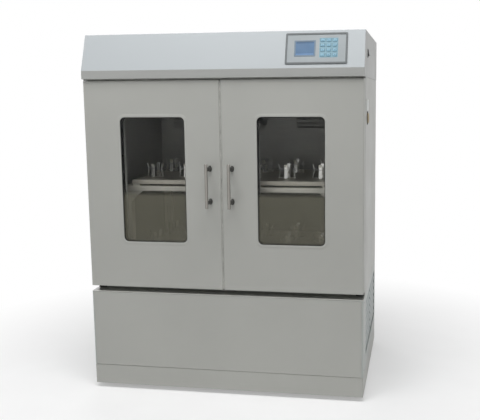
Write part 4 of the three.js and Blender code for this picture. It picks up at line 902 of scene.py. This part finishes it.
class INCUBATOR_OT_panel(Step, bpy.types.Operator):
    """Builds the control panel's plate, border and key field"""

    bl_idname = "incubator.panel"
    bl_label = "Control panel"

    face = 1.5 * MM
    frame_rise = 0.5 * MM
    field_margin = 4 * MM
    field_lift = 0.02 * MM
    field_thickness = 0.16 * MM
    key_gap = 0.55 * MM

    def build(self):
        refined("control_panel", "panel_film", 0.25 * MM, sharp=40, segments=1)
        add_object("panel_frame", self.frame_ring(), "panel_border")
        add_object("key_surround", self.key_surround(), "key_field")

    def frame_ring(self):
        across, up, out = slope_box("control_panel")
        proud = out[1] + self.frame_rise
        return slope_loft(across, up, [
            *raised(0, (-0.4, 0.1, 4.4)),
            *raised(proud, (-0.4, -0.7, 4.4), (-0.1, -0.2, 4.2), (0.7, 0, 3.6), (6, 0, 1.6)),
            *raised(proud, (6.6, -0.3, 1.2)),
            *raised(self.face, (6.7, 0.05, 1)),
            *raised(0, (6.1, 0.1, 1)),
        ], 6, closed=True)

    def cuts(self, keys):
        """Where the key field starts, opens for each key, closes again and ends."""
        width = keys[0][1] - keys[0][0]
        starts = sorted({round(low, 5) for low, high in keys})
        openings = [cut for start in starts for cut in (start - self.key_gap, start + width + self.key_gap)]
        ends = grown((min(low for low, high in keys), max(high for low, high in keys)), self.field_margin)
        return [ends[0], *openings, ends[1]]

    def key_surround(self):
        """A thin printed field round the keys, with an opening for each."""
        across, up, _ = zip(*[slope_box(node) for node in key_nodes()])
        columns, rows = self.cuts(across), self.cuts(up)
        bm = bmesh.new()
        grid = [[bm.verts.new(on_slope(u, v, self.face + self.field_lift)) for v in rows] for u in columns]
        for i in range(len(columns) - 1):
            for j in range(len(rows) - 1):
                if i % 2 == 0 or j % 2 == 0:
                    bm.faces.new((grid[i][j], grid[i + 1][j], grid[i + 1][j + 1], grid[i][j + 1]))
        made = bmesh.ops.extrude_face_region(bm, geom=bm.faces[:], use_keep_orig=True)["geom"]
        top = [part for part in made if isinstance(part, bmesh.types.BMVert)]
        bmesh.ops.translate(bm, vec=SLOPE_OUT * self.field_thickness, verts=top)
        return bm


class INCUBATOR_OT_keys(Step, bpy.types.Operator):
    """Builds the twelve domed keys with plain marks"""

    bl_idname = "incubator.keys"
    bl_label = "Keys"

    mark_size = 1.9 * MM
    marks = (
        [(-1, -0.5), (1, -0.5), (0, 1)],
        [(-1, -0.22), (1, -0.22), (1, 0.22), (-1, 0.22)],
        [(-1, 0.5), (0, -1), (1, 0.5)],
        [(0.8 * c, 0.8 * s) for c, s in circle(12)],
    )

    def build(self):
        for node in key_nodes():
            across, up, out = slope_box(node)
            add_object(f"{node}_cap", self.cap(across, up, out), "key_film", node, [node], 40)
            row, column = int(node[7]), int(node[-1])
            loop = self.marks[(row + column) % len(self.marks)]
            add_object(f"{node}_mark", self.mark(across, up, out[1], loop), "key_mark", node)

    def cap(self, across, up, out):
        dome = raised(
            out[1], (0, -0.8, 2), (0.25, -0.4, 1.9), (0.8, -0.15, 1.7), (2, -0.04, 1.4), (4, 0, 0.8),
        )
        return slope_loft(across, up, [(0, out[0], 2 * MM), *dome], 5)

    def mark(self, across, up, top, loop):
        """A plain bar, dot or arrow head, raised a little from the cap."""
        u, v = middle(across), middle(up)
        size = self.mark_size
        levels = (top - 0.12 * MM, top + 0.06 * MM)
        return loft([[on_slope(u + size * a, v + size * b, level) for a, b in loop] for level in levels])


class INCUBATOR_OT_display(Step, bpy.types.Operator):
    """Builds the display glass, its bezel and two plain bands"""

    bl_idname = "incubator.display"
    bl_label = "Display"

    margin = 5 * MM
    foot_band = (5 * MM, 9 * MM)
    top_band = (9 * MM, 4 * MM)

    def build(self):
        across, up, (base, top) = slope_box("display_window")
        pane = slope_loft(across, up, [(0, base, 0.5 * MM), *raised(top, (0, -0.3, 0.5), (0.3, 0, 0.5))], 3)
        add_object("display_pane", pane, "display_glass", stands_for=["display_window"])
        rings = raised(
            top, (-2.2, 0.02, 1.8), (-2.2, 0.5, 1.8), (-1.7, 0.9, 1.6), (2.6, 0.9, 1), (3.2, 0.4, 0.8),
            (3.2, 0.02, 0.8),
        )
        add_object("display_bezel", slope_loft(across, up, rings, 4, True), "display_bezel")
        width = grown(across, -self.margin)
        bar = raised(top, (0, -0.1, 0.6), (0, 0.06, 0.6))
        foot_band = slope_loft(width, [up[0] + rise for rise in self.foot_band], bar, 3)
        top_band = slope_loft(width, [up[1] - drop for drop in self.top_band], bar, 3)
        add_object("display_foot_band", foot_band, "display_lit_band")
        add_object("display_top_band", top_band, "display_dark_band")


class INCUBATOR_OT_switch(Step, bpy.types.Operator):
    """Finishes the power switch"""

    bl_idname = "incubator.power_switch"
    bl_label = "Power switch"

    def build(self):
        refined("switch_housing", "switch_plastic", 0.5 * MM)
        refined("switch_rocker", "switch_plastic", 0.5 * MM, "switch_rocker")


class INCUBATOR_OT_side_fittings(Step, bpy.types.Operator):
    """Builds the port's plug and ring, and the bare plate above them on the right side"""

    bl_idname = "incubator.side_fittings"
    bl_label = "Port and plate"

    port_y = DOOR_FRONT + 149 * MM
    port_z = 1.077
    collar = 1 * MM
    plug = lengths(
        (18, -28), (19.8, -1), (20.4, 3.2), (19.6, 5.2), (17.4, 6.8), (13, 7.4), (9, 7), (2, 6.6),
    )
    ring = lengths((20.6, 1), (20.6, 2.4), (21.4, 3.2), (24, 3.2), (25.4, 2.2), (25.4, 1))
    plate_y = (port_y - 44 * MM, port_y + 26 * MM)
    plate_z = (port_z + 28 * MM, port_z + 70 * MM)

    def build(self):
        casing = ranges("cabinet_casing")[0][1] - self.collar
        place = facing((casing, self.port_y, self.port_z), (1, 0, 0))
        add_object("port_plug", turned(self.plug, place), "port_plug", angle=40)
        ring = turned(self.ring, place, closed=True)
        add_object("port_ring", ring, "black_rubber", angle=40)
        plate = block((casing - 0.05 * MM, casing + 4.5 * MM), self.plate_y, self.plate_z, 0.9 * MM, 3)
        add_object("side_plate", plate, "bare_plate")


class INCUBATOR_OT_chamber(Step, bpy.types.Operator):
    """Finishes the liner, the insulation, the duct and its fan"""

    bl_idname = "incubator.chamber"
    bl_label = "Chamber"

    def build(self):
        refined("chamber_liner", "brushed_stainless", 0.9 * MM)
        refined("insulation_jacket", "mineral_wool", 0)
        refined("fan_duct", "brushed_stainless", 0.5 * MM)
        machined("circulation_fan", "fan_aluminium", 0.3 * MM, "circulation_fan")


class INCUBATOR_OT_platform(Step, bpy.types.Operator):
    """Finishes the platform and its trays, and adds the clamps' spring rings and screws"""

    bl_idname = "incubator.platform"
    bl_label = "Platform and trays"

    pitch = 0.14
    columns = (-2.5, -1.5, -0.5, 0.5, 1.5, 2.5)
    row_offset = 0.115
    ring_rise = 34.7 * MM
    waist = 29.5 * MM
    wire = 0.55 * MM
    coil = 1.9 * MM
    turns = 46

    def build(self):
        refined("shaker_frame", "platform_steel", 0.6 * MM, "platform", sharp=40)
        for tray in TRAYS:
            refined(f"{tray}_tray", f"{tray}_tray_steel", 0.6 * MM, "platform", sharp=40)
            top = tray_top(tray)
            rows = span(middle(ranges(f"{tray}_tray")[1]), 2 * self.row_offset)
            spots = [(column * self.pitch, y) for column in self.columns for y in rows]
            rings = merged([self.spring(x, y, top + self.ring_rise) for x, y in spots])
            add_object(f"{tray}_clamp_springs", rings, "spring_steel", "platform", angle=60)
            places = [facing((x, y, top + 2 * MM), (0, 0, 1), 0.4) for x, y in spots]
            add_screws(f"{tray}_clamp_screws", places, "platform")

    def spring(self, x, y, z):
        """A closed coil spring stretched round the clamp's fingers."""
        reach = self.waist + self.coil + self.wire
        up = Vector((0, 0, 1))
        steps = self.turns * 6
        rings = []
        for i in range(steps):
            round_ring = 2 * math.pi * i / steps
            round_coil = round_ring * self.turns
            out = Vector((math.cos(round_ring), math.sin(round_ring), 0))
            normal = out * math.cos(round_coil) + up * math.sin(round_coil)
            centre = Vector((x, y, z)) + out * reach + normal * self.coil
            along = out.cross(up)
            rings.append([centre + normal * self.wire * c + along * self.wire * s for c, s in circle(4)])
        return loft(rings, closed=True)


class INCUBATOR_OT_drive(Step, bpy.types.Operator):
    """Finishes the bed, the motor, the pulleys, the belt and the cranks"""

    bl_idname = "incubator.drive"
    bl_label = "Orbital drive"

    def build(self):
        machined("drive_chassis", "cast_iron", 0.8 * MM)
        for node in ("drive_crank", "idler_crank_left", "idler_crank_right"):
            machined(node, "cast_iron", 0.5 * MM, node)
        machined("drive_motor", "motor_enamel", 0.8 * MM)
        machined("motor_pulley", "turned_aluminium", 0.4 * MM, "motor_pulley")
        machined("drive_belt", "black_rubber", 0.4 * MM)


class INCUBATOR_OT_refrigeration(Step, bpy.types.Operator):
    """Finishes the compressor, the condenser and its fan"""

    bl_idname = "incubator.refrigeration"
    bl_label = "Refrigeration"

    def build(self):
        machined("compressor", "compressor_enamel", 0.8 * MM)
        machined("condenser", "condenser_fins", 0.4 * MM)
        machined("condenser_fan", "fan_plastic", 0.3 * MM, "condenser_fan")


class INCUBATOR_OT_feet(Step, bpy.types.Operator):
    """Builds the levelling feet: rubber pad, threaded stem and lock nut"""

    bl_idname = "incubator.feet"
    bl_label = "Feet"

    stem = lengths(
        (5, 7.5), (5, 7.6), (5.9, 8.2), (5, 8.9), (5.9, 9.5), (5, 10.2), (5.9, 10.8), (5, 11.6),
    )
    nut = lengths((11, 11.7), (13, 12.5), (13, 16.9), (11, 17.6))

    def build(self):
        for name in sorted(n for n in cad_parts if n.startswith("foot_")):
            x, y, z = ranges(name)
            place = facing((middle(x), middle(y), z[0]), (0, 0, 1))
            pad = turned(self.pad((x[1] - x[0]) / 2), place, 48)
            add_object(f"{name}_pad", pad, "black_rubber", stands_for=[name], angle=40)
            add_object(f"{name}_stem", turned(self.stem, place, 32), "zinc_plate", angle=30)
            add_object(f"{name}_nut", turned(self.nut, place, 6), "zinc_plate", angle=20)

    def pad(self, radius):
        return [
            (radius - 1.2 * MM, 0), (radius - 0.3 * MM, 0.4 * MM), (radius, 1.4 * MM), (radius, 3 * MM),
            (radius - 1.5 * MM, 4.4 * MM), (radius * 0.6, 5.9 * MM), *lengths((11, 6.8), (10, 7.6)),
        ]


class INCUBATOR_OT_screws(Step, bpy.types.Operator):
    """Adds the cover screws at the back and on the base's sides"""

    bl_idname = "incubator.screws"
    bl_label = "Cover screws"

    inset = 16 * MM
    side_inset = 40 * MM
    hood = 5 * MM
    sunk = 1.4 * MM

    def build(self):
        x, y, z = ranges("rear_cover")
        left, right = grown(x, -self.inset)
        low, high = grown(z, -self.inset)
        centre = (0, middle(z))
        spots = [(u, v) for u in (left, 0, right) for v in (low, centre[1], high) if (u, v) != centre]
        places = [facing((u, y[1] - self.hood, v), (0, 1, 0), 0.3) for u, v in spots]
        add_screws("rear_cover_screws", places)
        for side, sign in SIDES.items():
            x, y, z = ranges(f"base_{side}_panel")
            face = (x[1] if sign > 0 else x[0]) - sign * self.sunk
            spots = [(v, w) for v in grown(y, -self.side_inset) for w in grown(z, -self.inset)]
            places = [facing((face, v, w), (sign, 0, 0), 0.5) for v, w in spots]
            add_screws(f"base_{side}_screws", places)


class INCUBATOR_OT_stage(Step, bpy.types.Operator):
    """Sets the floor, the lights and the camera"""

    bl_idname = "incubator.stage"
    bl_label = "Stage"

    camera_place = (0.73247, DOOR_FRONT - 2.64059, 1.15551)
    yaw, pitch, roll = 0.16172, -0.13511, -0.00711
    centre_pixel = (300, 196.19)
    picture = (480, 420)
    sensor = 36.0
    white = (1, 1, 1, 1)
    daylight = (0.96, 0.98, 1.0, 1)
    floor_greys = ((0.85, 0.85, 0.85, 1), (0.88, 0.88, 0.88, 1))
    lamps = (
        ("overhead_box", (0.2, -1.5, 4.2), (0, -0.2, 0.9), (3.0, 1.8), "key_power"),
        ("front_fill", (-1.6, -4.2, 1.5), (0, 0, 0.7), (2.6, 2.2), "fill_power"),
        ("left_fill", (-3.4, 0.6, 1.6), (0, 0, 0.8), (2.2, 2.2), "side_power"),
        ("right_fill", (3.4, 0.6, 1.6), (0, 0, 0.8), (2.2, 2.2), "side_power"),
        ("rear_fill", (-1.6, 4.0, 2.2), (0, 0, 0.8), (2.8, 2.0), "rear_power"),
    )

    def build(self):
        self.floor()
        self.world()
        for lamp in self.lamps:
            self.lamp(*lamp)
        self.camera()
        bpy.context.scene.view_settings.view_transform = "Standard"

    def placed(self, name, data):
        made = bpy.data.objects.new(name, data)
        bpy.context.scene.collection.objects.link(made)
        return made

    def floor(self):
        bm = bmesh.new()
        bmesh.ops.create_circle(bm, cap_ends=True, radius=chosen("stage.floor_radius"), segments=96)
        mesh = bpy.data.meshes.new("studio_floor")
        bm.to_mesh(mesh)
        bm.free()
        mesh.materials.append(self.floor_finish())
        floor = self.placed("studio_floor", mesh)

    def floor_finish(self):
        """Pale floor that fades to plain white away from the object, for the eye and for reflections."""
        floor = Coat("floor")
        speckle = floor.remap(floor.noise(5.0, 3.0), 0, 1)
        floor.shade(
            Base_Color=floor.blend(speckle, *self.floor_greys), Roughness=0.9, Specular_IOR_Level=0.1,
        )
        away = floor.node("ShaderNodeVectorMath", {0: floor.place}, operation="LENGTH").outputs["Value"]
        fade = floor.maths("MULTIPLY", floor.remap(away, 0.35, 1.0, (0.7, 1.7)), floor.seen())
        glow = floor.node("ShaderNodeEmission", {"Color": self.white}).outputs["Emission"]
        floor.give(floor.output.inputs["Surface"], floor.mixed(fade, floor.shader.outputs["BSDF"], glow))
        return floor.material

    def world(self):
        """Even light all round, and plain white for the eye, in reflections and through glass."""
        world = bpy.data.worlds.new("studio")
        bpy.context.scene.world = world
        nodes = Nodes(world)
        even, plain = [
            nodes.node("ShaderNodeBackground", {"Color": colour, "Strength": strength}).outputs["Background"]
            for colour, strength in ((self.daylight, chosen("stage.ambient")), (self.white, 1.0))
        ]
        nodes.node("ShaderNodeOutputWorld", {"Surface": nodes.mixed(nodes.seen(), even, plain)})

    def lamp(self, name, place, aim, size, power):
        data = bpy.data.lights.new(name, "AREA")
        data.shape = "RECTANGLE"
        data.size, data.size_y = size
        data.energy = chosen(f"stage.{power}")
        lamp = self.placed(name, data)
        lamp.location = place
        lamp.rotation_euler = (Vector(aim) - Vector(place)).to_track_quat("-Z", "Y").to_euler()

    def camera(self):
        data = bpy.data.cameras.new("view")
        data.sensor_width = self.sensor
        data.lens = chosen("stage.focal_length")
        width, height = self.picture
        data.shift_x = (width / 2 - self.centre_pixel[0]) / width
        data.shift_y = (self.centre_pixel[1] - height / 2) / width
        data.clip_end = 60
        camera = self.placed("view", data)
        camera.matrix_world = (
            Matrix.Translation(self.camera_place) @ Matrix.Rotation(self.yaw, 4, "Z")
            @ Matrix.Rotation(self.pitch + math.pi / 2, 4, "X") @ Matrix.Rotation(self.roll, 4, "Z")
        )
        bpy.context.scene.camera = camera


STEPS = (
    INCUBATOR_OT_stage,
    INCUBATOR_OT_cabinet,
    INCUBATOR_OT_doors,
    INCUBATOR_OT_windows,
    INCUBATOR_OT_handles,
    INCUBATOR_OT_hinges,
    INCUBATOR_OT_panel,
    INCUBATOR_OT_keys,
    INCUBATOR_OT_display,
    INCUBATOR_OT_switch,
    INCUBATOR_OT_side_fittings,
    INCUBATOR_OT_chamber,
    INCUBATOR_OT_platform,
    INCUBATOR_OT_drive,
    INCUBATOR_OT_refrigeration,
    INCUBATOR_OT_feet,
    INCUBATOR_OT_screws,
)


class INCUBATOR_PT_build(bpy.types.Panel):
    """Lists the steps in the order that builds the incubator"""

    bl_idname = "INCUBATOR_PT_build"
    bl_label = "Shaker incubator"
    bl_space_type = "VIEW_3D"
    bl_region_type = "UI"
    bl_category = "Incubator"

    def draw(self, context):
        for step in STEPS:
            self.layout.operator(step.bl_idname)
        for group, kind in SETTINGS.items():
            box = self.layout.box()
            for name in kind.__annotations__:
                box.prop(getattr(context.scene, group), name)


CLASSES = (*SETTINGS.values(), *STEPS, INCUBATOR_PT_build)


def register():
    for kind in CLASSES:
        bpy.utils.register_class(kind)
    for group, kind in SETTINGS.items():
        setattr(bpy.types.Scene, group, PointerProperty(type=kind))


def unregister():
    for group in SETTINGS:
        delattr(bpy.types.Scene, group)
    for kind in reversed(CLASSES):
        bpy.utils.unregister_class(kind)


def main():
    register()
    for step in STEPS:
        getattr(bpy.ops.incubator, step.bl_idname.split(".")[1])()
    bpy.context.view_layer.update()


if __name__ == "__main__":
    main()
